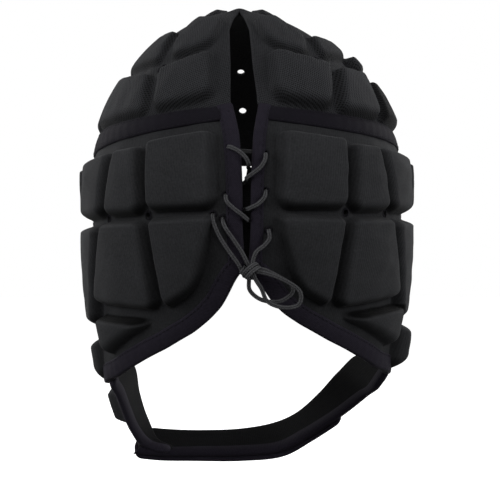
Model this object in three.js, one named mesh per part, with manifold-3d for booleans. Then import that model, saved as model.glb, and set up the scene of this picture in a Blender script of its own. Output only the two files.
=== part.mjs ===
// Padded sports headgear: a soft cap with foam blocks, ear flaps, a laced rear slit and a chin strap.
// Millimetres. +X is the wearer's right, +Y the wearer's front, +Z up.
// The origin is the inner top of the crown, where the cap sits on the head.
import * as THREE from "three";
import { mergeVertices } from "three/addons/utils/BufferGeometryUtils.js";
import Module from "manifold-3d";

const wasm = await Module();
wasm.setup();

// Head form that the cap is shaped on
const DOME_HEIGHT = 96;
const SIDE_RADIUS = 86;
const BACK_RADIUS = 97;
const DOME_SQUARENESS = 1.77;
const WALL_SPAN = 110;
const SIDE_DRAW_IN = 7;
const BACK_DRAW_IN = 40;
const CROWN_LEAN = -4.5;
const RIGHT_RISE = 2.4;
const RISE_STARTS = 62;
const RISE_FULL = 80;
const EQUATOR = 90;
const DOWN_STEP = (DOME_HEIGHT * Math.PI) / 180;

// Cloth, foam and tape
const CROWN_WALL = 2;
const SHELL_WALL = 3;
const GAP = 0.3;
const TAPE_GAP = 0.45;
const PAD_BASE_GAP = 0.8;
const SIDE_PAD_HEIGHT = 6.6;
const SUMMIT_PAD_HEIGHT = 4;
const PAD_EDGE_SHARE = 0.45;
const PAD_SHOULDER_SHARE = 0.9;
const PAD_SHOULDER_INSET = 3.2;
const PAD_MIDDLE_SHARE = 0.52;
const PAD_CORNER_CUT = 5;
const PAD_CORNER_SHARE = 0.35;
const PAD_SIDE_STEP = 21;
const PAD_SMALL_REACH = 21;
const TAPE = 1;
const SLIT_TAPE_WIDTH = 3.2;
const HEM_TAPE_WIDTH = 6.6;
const BROW_TAPE_WIDTH = 5;
const BAND_HALF_DOWN = 3;
const EYELET_DIAMETER = 3.8;
const VENT_DIAMETER = 4;
const FRONT_VENT_DIAMETER = 6;
const HOLE_SIDES = 8;
const HOLE_REACH = 14;
const WELD_DISTANCE = 1e-4;

// Straps and lace
const STRAP_THICKNESS = 3;
const TAB_THICKNESS = 3;
const FACING_THICKNESS = 1.6;
const STRAP_WIDTH_SHARE = 0.84;
const LACE_DIAMETER = 2.1;
const LACE_SIDES = 8;
const LACE_STEPS_PER_POINT = 1.15;

const FINISHES = {
  knit: { color: 0x1b1b1d, roughness: 0.8 },
  mesh: { color: 0x1d1d1f, roughness: 0.85 },
  tape: { color: 0x17151b, roughness: 0.75 },
  strap: { color: 0x121214, roughness: 0.85 },
  lace: { color: 0x2a2a2c, roughness: 0.6 },
};

const radians = THREE.MathUtils.degToRad;
const degrees = THREE.MathUtils.radToDeg;

// A table of [position, value] rows read at any position, straight between the rows
function readTable(rows, position) {
  const last = rows.length - 1;
  if (position <= rows[0][0]) return rows[0][1];
  if (position >= rows[last][0]) return rows[last][1];
  const next = rows.findIndex((row) => row[0] > position);
  const [x0, y0] = rows[next - 1];
  const [x1, y1] = rows[next];
  return y0 + ((y1 - y0) * (position - x0)) / (x1 - x0);
}

// The inner surface of the cap: round is degrees from the back, positive to the right,
// and down is degrees from the top, carried on below the dome at the same length for each degree.
function sectionAt(down) {
  if (down <= EQUATOR) {
    const power = 2 / DOME_SQUARENESS;
    const spread = Math.sin(radians(down)) ** power;
    const height = Math.max(Math.cos(radians(down)), 0) ** power;
    const side = SIDE_RADIUS * spread;
    const back = BACK_RADIUS * spread;
    return { side, back, front: back, z: DOME_HEIGHT * (height - 1), lean: CROWN_LEAN * height * height };
  }
  const drop = (down - EQUATOR) * DOWN_STEP;
  const share = drop / WALL_SPAN;
  const side = SIDE_RADIUS - SIDE_DRAW_IN * share * share;
  const back = BACK_RADIUS - BACK_DRAW_IN * share * share;
  return { side, back, front: BACK_RADIUS, z: -DOME_HEIGHT - drop, lean: 0 };
}

// The right flap is pulled up by the strap, so places on it slide up towards the side
function surface(round, down) {
  const angle = radians(round);
  const pull = RIGHT_RISE * Math.max(Math.sin(angle), 0) ** 2;
  const section = sectionAt(down - pull * THREE.MathUtils.smoothstep(down, RISE_STARTS, RISE_FULL));
  const depth = Math.cos(angle) >= 0 ? section.back : section.front;
  return new THREE.Vector3(section.side * Math.sin(angle) + section.lean, -depth * Math.cos(angle), section.z);
}

function surfaceNormal(round, down) {
  const nudge = 0.2;
  const low = Math.max(down, 2 * nudge);
  const across = surface(round + nudge, low).sub(surface(round - nudge, low));
  const along = surface(round, low + nudge).sub(surface(round, low - nudge));
  return along.cross(across).normalize();
}

function lifted(round, down, lift) {
  return surface(round, down).addScaledVector(surfaceNormal(round, down), lift);
}

// Degrees round that put a point this many millimetres across from the back centre line
function roundFor(across, down) {
  return degrees(Math.asin(across / sectionAt(down).side));
}

// Millimetres in one degree round at a place on the surface
function roundStep(round, down) {
  return surface(round + 0.5, down).distanceTo(surface(round - 0.5, down));
}

// Edges of the panels
const SLIT_TOP = 12.15;
const CROWN_SLIT = [[SLIT_TOP, 0], [18, 2.6], [31, 5.2], [50, 5.6], [62, 7], [70, 7.2]];
const FLAP_SLIT = [[66, 6.4], [70, 4.9], [76, 3.3], [86, 2.4], [96, 1.9], [108, 1.8], [119, 0.6], [130, 0.6]];
const NAPE_EDGE = {
  left: [[0, 120.6], [6, 126.6], [10, 132.2], [20, 139], [32, 144.6], [47, 150.1], [62, 155.1], [80, 158], [86, 160.6],
    [104, 161]],
  right: [[0, 120], [6, 125.4], [10, 130.4], [20, 136.7], [32, 142.5], [47, 148.6], [62, 154.2], [80, 157.9],
    [86, 160.2], [104, 160.6]],
};
const FLAP_FRONT = [[79, 120], [100, 116], [125, 112], [150, 103], [160, 101]];
const BAND_START = 67.5;
const BAND_SLOPE = 0.1;
const TEMPLE = 120;
const SEAM_HALF_GAP = 0.2;

function bandDown(round) {
  const turn = Math.abs(round) > 180 ? 360 - Math.abs(round) : Math.abs(round);
  return BAND_START + BAND_SLOPE * Math.min(turn, TEMPLE);
}

function flapSlitRound(down) {
  const panelGap = readTable(FLAP_SLIT, down) + TAPE_GAP + TAPE;
  return roundFor(panelGap, down);
}

// Closed solids
function solidFrom(outer, inner, faces) {
  const count = outer.length;
  const positions = [...outer, ...inner].flatMap((point) => point.toArray());
  const index = [];
  const edges = new Map();
  for (const [a, b, c] of faces) {
    index.push(a, b, c);
    index.push(a + count, c + count, b + count);
    edges.set(`${a},${b}`, [a, b]);
    edges.set(`${b},${c}`, [b, c]);
    edges.set(`${c},${a}`, [c, a]);
  }
  for (const [a, b] of edges.values()) {
    if (edges.has(`${b},${a}`)) continue;
    index.push(b, a, a + count);
    index.push(b, a + count, b + count);
  }
  const geometry = new THREE.BufferGeometry();
  geometry.setAttribute("position", new THREE.Float32BufferAttribute(positions, 3));
  geometry.setIndex(index);
  return faceOutward(geometry);
}

function faceOutward(geometry) {
  const position = geometry.attributes.position;
  const index = geometry.index.array;
  const [a, b, c] = [new THREE.Vector3(), new THREE.Vector3(), new THREE.Vector3()];
  let volume = 0;
  for (let i = 0; i < index.length; i += 3) {
    a.fromBufferAttribute(position, index[i]);
    b.fromBufferAttribute(position, index[i + 1]);
    c.fromBufferAttribute(position, index[i + 2]);
    volume += a.dot(b.cross(c));
  }
  if (volume < 0) {
    const turned = Array.from(index);
    for (let i = 0; i < turned.length; i += 3) {
      [turned[i + 1], turned[i + 2]] = [turned[i + 2], turned[i + 1]];
    }
    geometry.setIndex(turned);
  }
  return geometry;
}

// Triangles of a sheet of rows by columns of points, numbered by cell
function gridFaces(rows, columns, cell) {
  const faces = [];
  for (let i = 0; i < rows - 1; i += 1) {
    for (let j = 0; j < columns - 1; j += 1) {
      const corners = [cell(i, j), cell(i, j + 1), cell(i + 1, j + 1), cell(i + 1, j)];
      const [a, b, c, d] = corners;
      if (a !== b) faces.push([a, b, c]);
      if (c !== d) faces.push([a, c, d]);
    }
  }
  return faces;
}

// A strip whose outer and inner faces are rows of points
function slab(outerRows, innerRows) {
  const columns = outerRows[0].length;
  const faces = gridFaces(outerRows.length, columns, (i, j) => i * columns + j);
  return solidFrom(outerRows.flat(), innerRows.flat(), faces);
}

function toManifold(geometry) {
  const mesh = new wasm.Mesh({
    numProp: 3,
    vertProperties: new Float32Array(geometry.attributes.position.array),
    triVerts: new Uint32Array(geometry.index.array),
  });
  return new wasm.Manifold(mesh);
}

function fromManifold(solid) {
  const mesh = solid.getMesh();
  const geometry = new THREE.BufferGeometry();
  geometry.setAttribute("position", new THREE.BufferAttribute(mesh.vertProperties, 3));
  geometry.setIndex(new THREE.BufferAttribute(mesh.triVerts, 1));
  return geometry;
}

function welded(geometry) {
  geometry.deleteAttribute("normal");
  geometry.deleteAttribute("uv");
  return mergeVertices(geometry, WELD_DISTANCE);
}

// Round holes through a panel, square to its surface
function punch(geometry, holes) {
  let solid = toManifold(geometry);
  for (const { round, down, diameter } of holes) {
    const drill = new THREE.CylinderGeometry(diameter / 2, diameter / 2, HOLE_REACH, HOLE_SIDES);
    const turn = new THREE.Quaternion();
    turn.setFromUnitVectors(new THREE.Vector3(0, 1, 0), surfaceNormal(round, down));
    drill.applyQuaternion(turn);
    const centre = surface(round, down);
    drill.translate(centre.x, centre.y, centre.z);
    solid = solid.subtract(toManifold(welded(drill)));
  }
  return fromManifold(solid);
}

const headgear = new THREE.Group();

function addPiece(name, geometry, finish) {
  const material = new THREE.MeshStandardMaterial({ ...finish, metalness: 0 });
  const mesh = new THREE.Mesh(geometry, material);
  mesh.name = name;
  headgear.add(mesh);
}

// The cap sits a little pressed on its left, so the crown's blocks stand lower there
const SIDES = [
  { name: "left", sign: -1, ringHeight: 4, topHeight: 2.8 },
  { name: "right", sign: 1, ringHeight: 6, topHeight: 3.4 },
];

// Crown: rings from the top to the seam, opened at the back by the slit
const CROWN_COLUMNS = 36;

function crownPoint(share, column) {
  const evenRound = (360 * column) / CROWN_COLUMNS;
  const down = share * (bandDown(evenRound) - SEAM_HALF_GAP);
  const slit = down <= SLIT_TOP ? 0 : roundFor(readTable(CROWN_SLIT, down), down);
  return [slit + ((360 - 2 * slit) * column) / CROWN_COLUMNS, down];
}

function crownGeometry() {
  const shares = [0, 0.09, 0.18, 0.3, 0.44, 0.58, 0.72, 0.86, 1];
  const slitRing = 2;
  const sheet = [];
  const numbers = new Map();
  shares.forEach((share, ring) => {
    for (let j = 0; j <= CROWN_COLUMNS; j += 1) {
      const closed = ring <= slitRing && j === CROWN_COLUMNS;
      if (ring === 0 && j > 0) {
        numbers.set(`${ring},${j}`, numbers.get("0,0"));
      } else if (closed) {
        numbers.set(`${ring},${j}`, numbers.get(`${ring},0`));
      } else {
        numbers.set(`${ring},${j}`, sheet.length);
        sheet.push(crownPoint(share, j));
      }
    }
  });
  const faces = gridFaces(shares.length, CROWN_COLUMNS + 1, (i, j) => numbers.get(`${i},${j}`));
  const outer = sheet.map(([round, down]) => lifted(round, down, CROWN_WALL));
  const inner = sheet.map(([round, down]) => lifted(round, down, 0));
  return solidFrom(outer, inner, faces);
}

const FRONT_VENTS = [
  { round: -177.9, down: 41, diameter: FRONT_VENT_DIAMETER },
  { round: -178.9, down: 58, diameter: FRONT_VENT_DIAMETER },
];
const CROWN_VENTS = [
  { round: -43.6, down: 49.9, diameter: VENT_DIAMETER },
  { round: -81.7, down: 50.7, diameter: VENT_DIAMETER },
  { round: -141, down: 52.5, diameter: VENT_DIAMETER },
  { round: 42.8, down: 47.4, diameter: VENT_DIAMETER },
  { round: 71.6, down: 46.6, diameter: VENT_DIAMETER },
  { round: 134.5, down: 52.5, diameter: VENT_DIAMETER },
];

function mirrored(holes, sign) {
  return holes.map((hole) => ({ ...hole, round: hole.round * sign }));
}

addPiece("crown", punch(crownGeometry(), [...FRONT_VENTS, ...CROWN_VENTS]), FINISHES.mesh);

// Side shells: from the slit to the front edge, and from the seam to the nape
const SHELL_COLUMNS = [0, 4, 8, 13, 20, 30, 41, 52, 63, 74, 86, 98, 110];
const SHELL_WIDEST = SHELL_COLUMNS[SHELL_COLUMNS.length - 1];
const SHELL_ROWS = 10;

const FIT_PASSES = 8;

function flapPoint(name, acrossShare, downShare) {
  let round = acrossShare * TEMPLE;
  let down = EQUATOR;
  for (let pass = 0; pass < FIT_PASSES; pass += 1) {
    down = THREE.MathUtils.lerp(bandDown(round) + SEAM_HALF_GAP, readTable(NAPE_EDGE[name], round), downShare);
    round = THREE.MathUtils.lerp(flapSlitRound(down), readTable(FLAP_FRONT, down), acrossShare);
  }
  return [round, down];
}

function shellGeometry(name, sign) {
  const outerRows = [];
  const innerRows = [];
  for (let i = 0; i < SHELL_ROWS; i += 1) {
    const row = SHELL_COLUMNS.map((column) => flapPoint(name, column / SHELL_WIDEST, i / (SHELL_ROWS - 1)));
    outerRows.push(row.map(([round, down]) => lifted(sign * round, down, SHELL_WALL)));
    innerRows.push(row.map(([round, down]) => lifted(sign * round, down, 0)));
  }
  return slab(outerRows, innerRows);
}

// Lace holes, in millimetres across from the slit line and degrees down
const EYELETS = {
  left: [{ across: -9.4, down: 80 }, { across: -10.4, down: 96.4 }, { across: -12, down: 103.6 },
    { across: -17, down: 102.4 }],
  right: [{ across: 9.4, down: 82.1 }, { across: 9.4, down: 95.2 }, { across: 11, down: 107.3 }],
};
const SHELL_VENTS = [
  { round: 36.3, down: 102.6, diameter: VENT_DIAMETER },
  { round: 58.5, down: 103.5, diameter: VENT_DIAMETER },
  { round: 80, down: 104.3, diameter: VENT_DIAMETER },
];

for (const { name, sign } of SIDES) {
  const eyelets = EYELETS[name].map(({ across, down }) => {
    return { round: roundFor(across, down), down, diameter: EYELET_DIAMETER };
  });
  const shell = punch(shellGeometry(name, sign), [...eyelets, ...mirrored(SHELL_VENTS, sign)]);
  addPiece(`side_shell_${name}`, shell, FINISHES.knit);
}

// Foam pads: corners in degrees round from the back and degrees down from the top
const CROWN_RING_PADS = {
  left: {
    rear: [[41, 51.5], [16.5, 44.8], [13, 62], [37, 66.6]],
    rear_side: [[80, 52.5], [46.5, 53], [41, 67.3], [81, 70]],
    side: [[112, 53], [84.5, 52.6], [85.5, 70.6], [114, 73.2]],
    front_side: [[140, 55], [116, 54], [118.5, 74], [138, 75]],
    forehead: [[174, 55], [144.5, 55], [142.5, 75], [174, 75]],
  },
  right: {
    rear: [[42.5, 50.6], [14, 45.2], [11.5, 63], [33, 66.4]],
    rear_side: [[68, 52], [47, 51.2], [37.5, 67.2], [60.5, 69]],
    top_ear: [[100, 50.6], [74.5, 50.6], [76.5, 45.6], [101, 45.8]],
    side: [[100, 55], [72, 54.8], [64.5, 69.6], [98, 72.4]],
    front_side: [[132, 55], [104, 54.6], [102.5, 73.5], [130, 75]],
    forehead: [[174, 55], [137, 55], [135, 75], [174, 75]],
  },
};
const CROWN_TOP_PADS = {
  left: {
    top_rear: [[44.5, 39], [39.5, 46], [19, 41.6], [15, 36], [18.5, 24.5], [48, 22]],
    top_side: [[78, 49], [44.5, 46.8], [49.5, 39.5], [54, 31.5], [80, 33]],
    top_ear: [[108, 48.6], [83, 48.8], [85, 34], [109, 34]],
    top_front_side: [[137, 50], [112.5, 49.4], [113.5, 34], [136, 34]],
    top_forehead: [[172, 50], [141.5, 50], [141, 33], [171, 33]],
  },
  right: {
    top_rear: [[41.5, 38], [34, 46], [16.5, 41.8], [12, 36], [14, 25], [36, 23]],
    top_side: [[78, 42], [44, 44.2], [47, 39], [50, 35.2], [80, 36.4]],
    top_front_side: [[132, 46], [84, 41.4], [86, 35.8], [132, 34]],
    top_forehead: [[172, 50], [137, 50], [137, 33], [171, 33]],
  },
};
const SUMMIT_PADS = { summit: [[165, 27], [122, 27], [106, 9.5], [152, 9.5]] };
const SIDE_PADS = {
  square: [[35, 78], [10.8, 75], [10, 99.5], [34.5, 100]],
  rear_side: [[50, 80.5], [38, 79.5], [37.3, 101], [55.5, 101.5]],
  side: [[76, 84], [52.5, 80.8], [58.5, 101.8], [78, 102.5]],
  temple: [[113, 87], [80.5, 85.4], [82, 102.5], [110, 103]],
  shield: [[34.2, 104.5], [10.5, 103], [13, 113.5], [17, 124.5], [29.5, 131]],
  lower_side: [[58, 105.5], [37, 104.8], [33, 131.5], [67.5, 130.5]],
  ear: [[108, 107], [62.5, 106.2], [73, 138.2], [101, 138.6]],
  triangle: [[69, 134.5], [38, 134.8], [65.5, 146.5]],
};
const CHEEK_PADS = {
  left: { corners: [[98.5, 144], [82, 143.5], [85, 155.2], [95.5, 155.8]], height: 6 },
  right: { corners: [[98.5, 143], [78, 143], [80, 153.8], [96, 154.4]], height: 9.6 },
};

// Where a pad's cut corner meets the side that runs from that corner to the next one
function cutFrom(corner, next) {
  const cut = Math.min(PAD_CORNER_CUT, PAD_CORNER_SHARE * corner.distanceTo(next));
  return corner.clone().add(next.clone().sub(corner).setLength(cut));
}

// A pad outline with its corners cut and its long sides divided, in millimetres round its middle
function padOutline(corners) {
  const middle = [0, 1].map((axis) => corners.reduce((sum, corner) => sum + corner[axis], 0) / corners.length);
  const step = roundStep(middle[0], middle[1]);
  const flat = corners.map(([round, down]) => {
    return new THREE.Vector2((round - middle[0]) * step, (down - middle[1]) * DOWN_STEP);
  });
  const points = [];
  flat.forEach((corner, i) => {
    const before = flat[(i + flat.length - 1) % flat.length];
    const after = flat[(i + 1) % flat.length];
    const enter = cutFrom(corner, before);
    const leave = cutFrom(corner, after);
    const end = cutFrom(after, corner);
    points.push(enter, leave);
    const pieces = Math.ceil(leave.distanceTo(end) / PAD_SIDE_STEP);
    for (let k = 1; k < pieces; k += 1) points.push(leave.clone().lerp(end, k / pieces));
  });
  const place = (point) => [middle[0] + point.x / step, middle[1] + point.y / DOWN_STEP];
  return { points, place };
}

function padGeometry(corners, sign, base, height) {
  const { points, place } = padOutline(corners);
  const count = points.length;
  const shoulder = points.map((point) => point.clone().setLength(point.length() - PAD_SHOULDER_INSET));
  const middle = points.map((point) => point.clone().multiplyScalar(PAD_MIDDLE_SHARE));
  const reach = Math.max(...points.map((point) => point.length()));
  const rings = [
    { ring: points, rise: height * PAD_EDGE_SHARE },
    { ring: shoulder, rise: height * PAD_SHOULDER_SHARE },
    ...(reach > PAD_SMALL_REACH ? [{ ring: middle, rise: height }] : []),
    { ring: [new THREE.Vector2()], rise: height },
  ];
  const outer = [];
  const inner = [];
  rings.forEach(({ ring, rise }) => {
    for (const point of ring) {
      const [round, down] = place(point);
      outer.push(lifted(sign * round, down, base + rise));
      inner.push(lifted(sign * round, down, base));
    }
  });
  const cell = (i, j) => (i === rings.length - 1 ? i * count : i * count + (j % count));
  return solidFrom(outer, inner, gridFaces(rings.length, count + 1, cell));
}

const CROWN_PAD_BASE = CROWN_WALL + PAD_BASE_GAP;
const SIDE_PAD_BASE = SHELL_WALL + PAD_BASE_GAP;

for (const { name, sign, ringHeight, topHeight } of SIDES) {
  const crownRows = [
    { pads: CROWN_RING_PADS[name], height: ringHeight },
    { pads: CROWN_TOP_PADS[name], height: topHeight },
    { pads: SUMMIT_PADS, height: SUMMIT_PAD_HEIGHT },
  ];
  for (const { pads, height } of crownRows) {
    for (const [place, corners] of Object.entries(pads)) {
      addPiece(`crown_pad_${place}_${name}`, padGeometry(corners, sign, CROWN_PAD_BASE, height), FINISHES.mesh);
    }
  }
  for (const [place, corners] of Object.entries(SIDE_PADS)) {
    const pad = padGeometry(corners, sign, SIDE_PAD_BASE, SIDE_PAD_HEIGHT);
    addPiece(`side_pad_${place}_${name}`, pad, FINISHES.knit);
  }
  const { corners, height } = CHEEK_PADS[name];
  addPiece(`side_pad_cheek_${name}`, padGeometry(corners, sign, SIDE_PAD_BASE, height), FINISHES.knit);
}

// Seam bands: flat tape over the seam, from the slit to the temple
const BAND_LIFT = SHELL_WALL + TAPE_GAP;
const BAND_STOPS = 12;
const BAND_TOP_TRIM = 0.6;
const BAND_END = TEMPLE - 1;

function bandGeometry(sign) {
  const outerRows = [];
  const innerRows = [];
  for (let i = 0; i < BAND_STOPS; i += 1) {
    const share = i / (BAND_STOPS - 1);
    const rows = [-1, 1].map((edge) => {
      const slit = flapSlitRound(BAND_START + edge * BAND_HALF_DOWN) + (edge < 0 ? BAND_TOP_TRIM : 0);
      const round = THREE.MathUtils.lerp(slit, BAND_END, share);
      return [sign * round, bandDown(round) + edge * BAND_HALF_DOWN];
    });
    outerRows.push(rows.map(([round, down]) => lifted(round, down, BAND_LIFT + TAPE)));
    innerRows.push(rows.map(([round, down]) => lifted(round, down, BAND_LIFT)));
  }
  return slab(outerRows, innerRows);
}

for (const { name, sign } of SIDES) {
  addPiece(`seam_band_${name}`, bandGeometry(sign), FINISHES.tape);
}

// A point this many millimetres in from an edge, measured along the surface
function stepIn(before, here, after, distance) {
  const step = roundStep(here[0], here[1]);
  const along = new THREE.Vector2((after[0] - before[0]) * step, (after[1] - before[1]) * DOWN_STEP).normalize();
  return [here[0] + (along.y * distance) / step, here[1] - (along.x * distance) / DOWN_STEP];
}

// Tape folded over an edge: up the outside, round the edge and back along the inside
function foldedTape(edge, width, wall, side) {
  const outerRows = [];
  const innerRows = [];
  edge.forEach((here, i) => {
    const before = edge[Math.max(i - 1, 0)];
    const after = edge[Math.min(i + 1, edge.length - 1)];
    const at = (inset, lift) => {
      const [round, down] = stepIn(before, here, after, inset * side);
      return lifted(round, down, lift);
    };
    const near = TAPE_GAP;
    const far = TAPE_GAP + TAPE;
    outerRows.push([at(width, wall + far), at(-far, wall + far), at(-far, -far), at(width, -far)]);
    innerRows.push([at(width, wall + near), at(-near, wall + near), at(-near, -near), at(width, -near)]);
  });
  return slab(outerRows, innerRows);
}

// The bindings follow the panels' own edge points. The slit binding starts below the seam band,
// and the hem binding starts beside the slit binding and stops below the seam band.
const SLIT_FIRST_ROW = 1;
const HEM_FIRST_COLUMN = 1;
const HEM_LAST_ROW = 1;

function slitEdge(name) {
  const edge = [];
  for (let i = SLIT_FIRST_ROW; i < SHELL_ROWS; i += 1) edge.push(flapPoint(name, 0, i / (SHELL_ROWS - 1)));
  const corner = edge.pop();
  edge.push([corner[0], corner[1] - SEAM_HALF_GAP]);
  return edge;
}

function hemEdge(name) {
  const foot = SHELL_COLUMNS.slice(HEM_FIRST_COLUMN).map((column) => flapPoint(name, column / SHELL_WIDEST, 1));
  const front = [];
  for (let i = SHELL_ROWS - 2; i >= HEM_LAST_ROW; i -= 1) front.push(flapPoint(name, 1, i / (SHELL_ROWS - 1)));
  return [...foot, ...front];
}

function onSide(edge, sign) {
  return edge.map(([round, down]) => [sign * round, down]);
}

for (const { name, sign } of SIDES) {
  const slit = foldedTape(onSide(slitEdge(name), sign), SLIT_TAPE_WIDTH, SHELL_WALL, sign);
  const hem = foldedTape(onSide(hemEdge(name), sign), HEM_TAPE_WIDTH, SHELL_WALL, sign);
  addPiece(`slit_binding_${name}`, slit, FINISHES.tape);
  addPiece(`hem_binding_${name}`, hem, FINISHES.tape);
}

// The forehead edge, between the columns of the crown that lie in front of the temples
function browEdge() {
  const edge = [];
  for (let j = 0; j <= CROWN_COLUMNS; j += 1) {
    const [round, down] = crownPoint(1, j);
    if (round > TEMPLE + 1 && round < 359 - TEMPLE) edge.push([round, down]);
  }
  return edge;
}

addPiece("brow_binding", foldedTape(browEdge(), BROW_TAPE_WIDTH, CROWN_WALL, 1), FINISHES.tape);

// Straps: pairs of edge points, front edge first, with the thickness laid inward
const STRAP_SEAT_LIFT = -2.2;

const SEAT_PLACES = [
  { front: [99, 143], rear: [77, 145] },
  { front: [100, 150], rear: [76, 161.5] },
];

function flapSeat(sign) {
  const seat = ([round, down]) => lifted(sign * round, down, STRAP_SEAT_LIFT);
  return SEAT_PLACES.map(({ front, rear }) => ({ front: seat(front), rear: seat(rear) }));
}

function station(front, rear) {
  return { front: new THREE.Vector3(...front), rear: new THREE.Vector3(...rear) };
}

const STRAP_STATIONS = [
  ...flapSeat(1),
  station([64.5, 36.5, -201], [78.5, 3, -218]),
  station([56, 48.5, -210.5], [73, 24, -225]),
  station([45.5, 61, -224], [60.5, 41, -238]),
  station([31, 76, -238.5], [39, 59, -254]),
  station([16, 85, -246], [22, 66, -263]),
  station([-4, 88, -250], [-4, 68, -266.5]),
  station([-28, 81, -250], [-33, 63, -266]),
  station([-47, 70, -247], [-53, 54, -264]),
  station([-64, 57.5, -241.5], [-70, 43, -258.5]),
];
const TAB_STATIONS = [
  ...flapSeat(-1),
  station([-69.5, 33, -206], [-74.5, 1, -220]),
  station([-65.7, 43, -222], [-71.5, 15.5, -231]),
  station([-60.5, 53, -239], [-65.5, 28.5, -243]),
  station([-50.5, 58.5, -250], [-56, 40.5, -254]),
  station([-42, 61, -256], [-47, 50, -259]),
];
const FACING_FIRST = 4;
const STRAP_END_TAPER = 0.2;
const SMOOTHING = 2;

// The stations' edges as smooth curves, with more stations between
function smoothStations(stations) {
  const fronts = new THREE.CatmullRomCurve3(stations.map((item) => item.front));
  const rears = new THREE.CatmullRomCurve3(stations.map((item) => item.rear));
  const pieces = (stations.length - 1) * SMOOTHING;
  const smooth = [];
  for (let i = 0; i <= pieces; i += 1) {
    smooth.push({ front: fronts.getPoint(i / pieces), rear: rears.getPoint(i / pieces) });
  }
  return smooth;
}

// A strap between the two edges: lay is how far its faces stand out from them, inward negative
function strapGeometry(smooth, widthShare, innerLay, outerLay, endSign) {
  const outerRows = [];
  const innerRows = [];
  smooth.forEach(({ front, rear }, i) => {
    const before = smooth[Math.max(i - 1, 0)].front;
    const after = smooth[Math.min(i + 1, smooth.length - 1)].front;
    const along = after.clone().sub(before);
    const face = rear.clone().sub(front).cross(along).normalize().multiplyScalar(endSign);
    const taper = i === smooth.length - 1 ? STRAP_END_TAPER : 0;
    const shares = [taper, 0.5, 1 - taper].map((share) => share * widthShare);
    outerRows.push(shares.map((share) => front.clone().lerp(rear, share).addScaledVector(face, outerLay)));
    innerRows.push(shares.map((share) => front.clone().lerp(rear, share).addScaledVector(face, innerLay)));
  });
  return slab(outerRows, innerRows);
}

// A foam pad on the outside of the cheek tab, between two of its smoothed stations
const TAB_PAD_FIRST = 5;
const TAB_PAD_LAST = 8;
const TAB_PAD_HEIGHT = 8.4;
const TAB_PAD_SHARES = [0.1, 0.28, 0.72, 0.9];

function tabPadGeometry(smooth) {
  const outerRows = [];
  const innerRows = [];
  smooth.forEach(({ front, rear }, i) => {
    const before = smooth[Math.max(i - 1, 0)].front;
    const after = smooth[Math.min(i + 1, smooth.length - 1)].front;
    const face = after.clone().sub(before).cross(rear.clone().sub(front)).normalize();
    const endRow = i === 0 || i === smooth.length - 1;
    const outer = TAB_PAD_SHARES.map((share, j) => {
      const rim = endRow || j === 0 || j === TAB_PAD_SHARES.length - 1;
      const rise = TAB_PAD_HEIGHT * (rim ? PAD_EDGE_SHARE : 1);
      return front.clone().lerp(rear, share).addScaledVector(face, PAD_BASE_GAP + rise);
    });
    outerRows.push(outer);
    innerRows.push(TAB_PAD_SHARES.map((share) => front.clone().lerp(rear, share).addScaledVector(face, PAD_BASE_GAP)));
  });
  return slab(outerRows, innerRows);
}

const strapRoute = smoothStations(STRAP_STATIONS);
const facingRoute = strapRoute.slice(FACING_FIRST * SMOOTHING);
const tabRoute = smoothStations(TAB_STATIONS);
const strap = strapGeometry(strapRoute, STRAP_WIDTH_SHARE, -STRAP_THICKNESS, 0, 1);
const facing = strapGeometry(facingRoute, 1, GAP, GAP + FACING_THICKNESS, 1);
const tab = strapGeometry(tabRoute, 1, -TAB_THICKNESS, 0, -1);
const tabPad = tabPadGeometry(tabRoute.slice(TAB_PAD_FIRST, TAB_PAD_LAST + 1));
addPiece("cheek_tab_pad", tabPad, FINISHES.knit);
addPiece("chin_strap", strap, FINISHES.strap);
addPiece("cheek_tab", tab, FINISHES.strap);
addPiece("strap_facing", facing, FINISHES.strap);

// Tongue: a dark cloth flap behind the slit, sewn inside the right flap and clear of the lace.
// Each row is degrees down, with the tongue's free edge in millimetres across from the slit line.
const TONGUE_ROWS = [[86.5, 0.4], [91, -0.4], [94.5, -4], [98, -11], [113, -12.5]];
const TONGUE_THICKNESS = 1.2;
const TONGUE_SEWN = [{ across: 13.5, lift: -5.2 }, { across: 16.5, lift: -2.8 }, { across: 21, lift: -0.4 }];
const TONGUE_LIFT = -5.6;

function tongueGeometry() {
  const outerRows = [];
  const innerRows = [];
  for (const [down, free] of TONGUE_ROWS) {
    const places = [{ across: free, lift: TONGUE_LIFT }, ...TONGUE_SEWN];
    const at = ({ across, lift }) => lifted(roundFor(across, down), down, lift);
    outerRows.push(places.map(at));
    innerRows.push(places.map(({ across, lift }) => at({ across, lift: lift - TONGUE_THICKNESS })));
  }
  return slab(outerRows, innerRows);
}

addPiece("slit_tongue", tongueGeometry(), FINISHES.strap);

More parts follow.
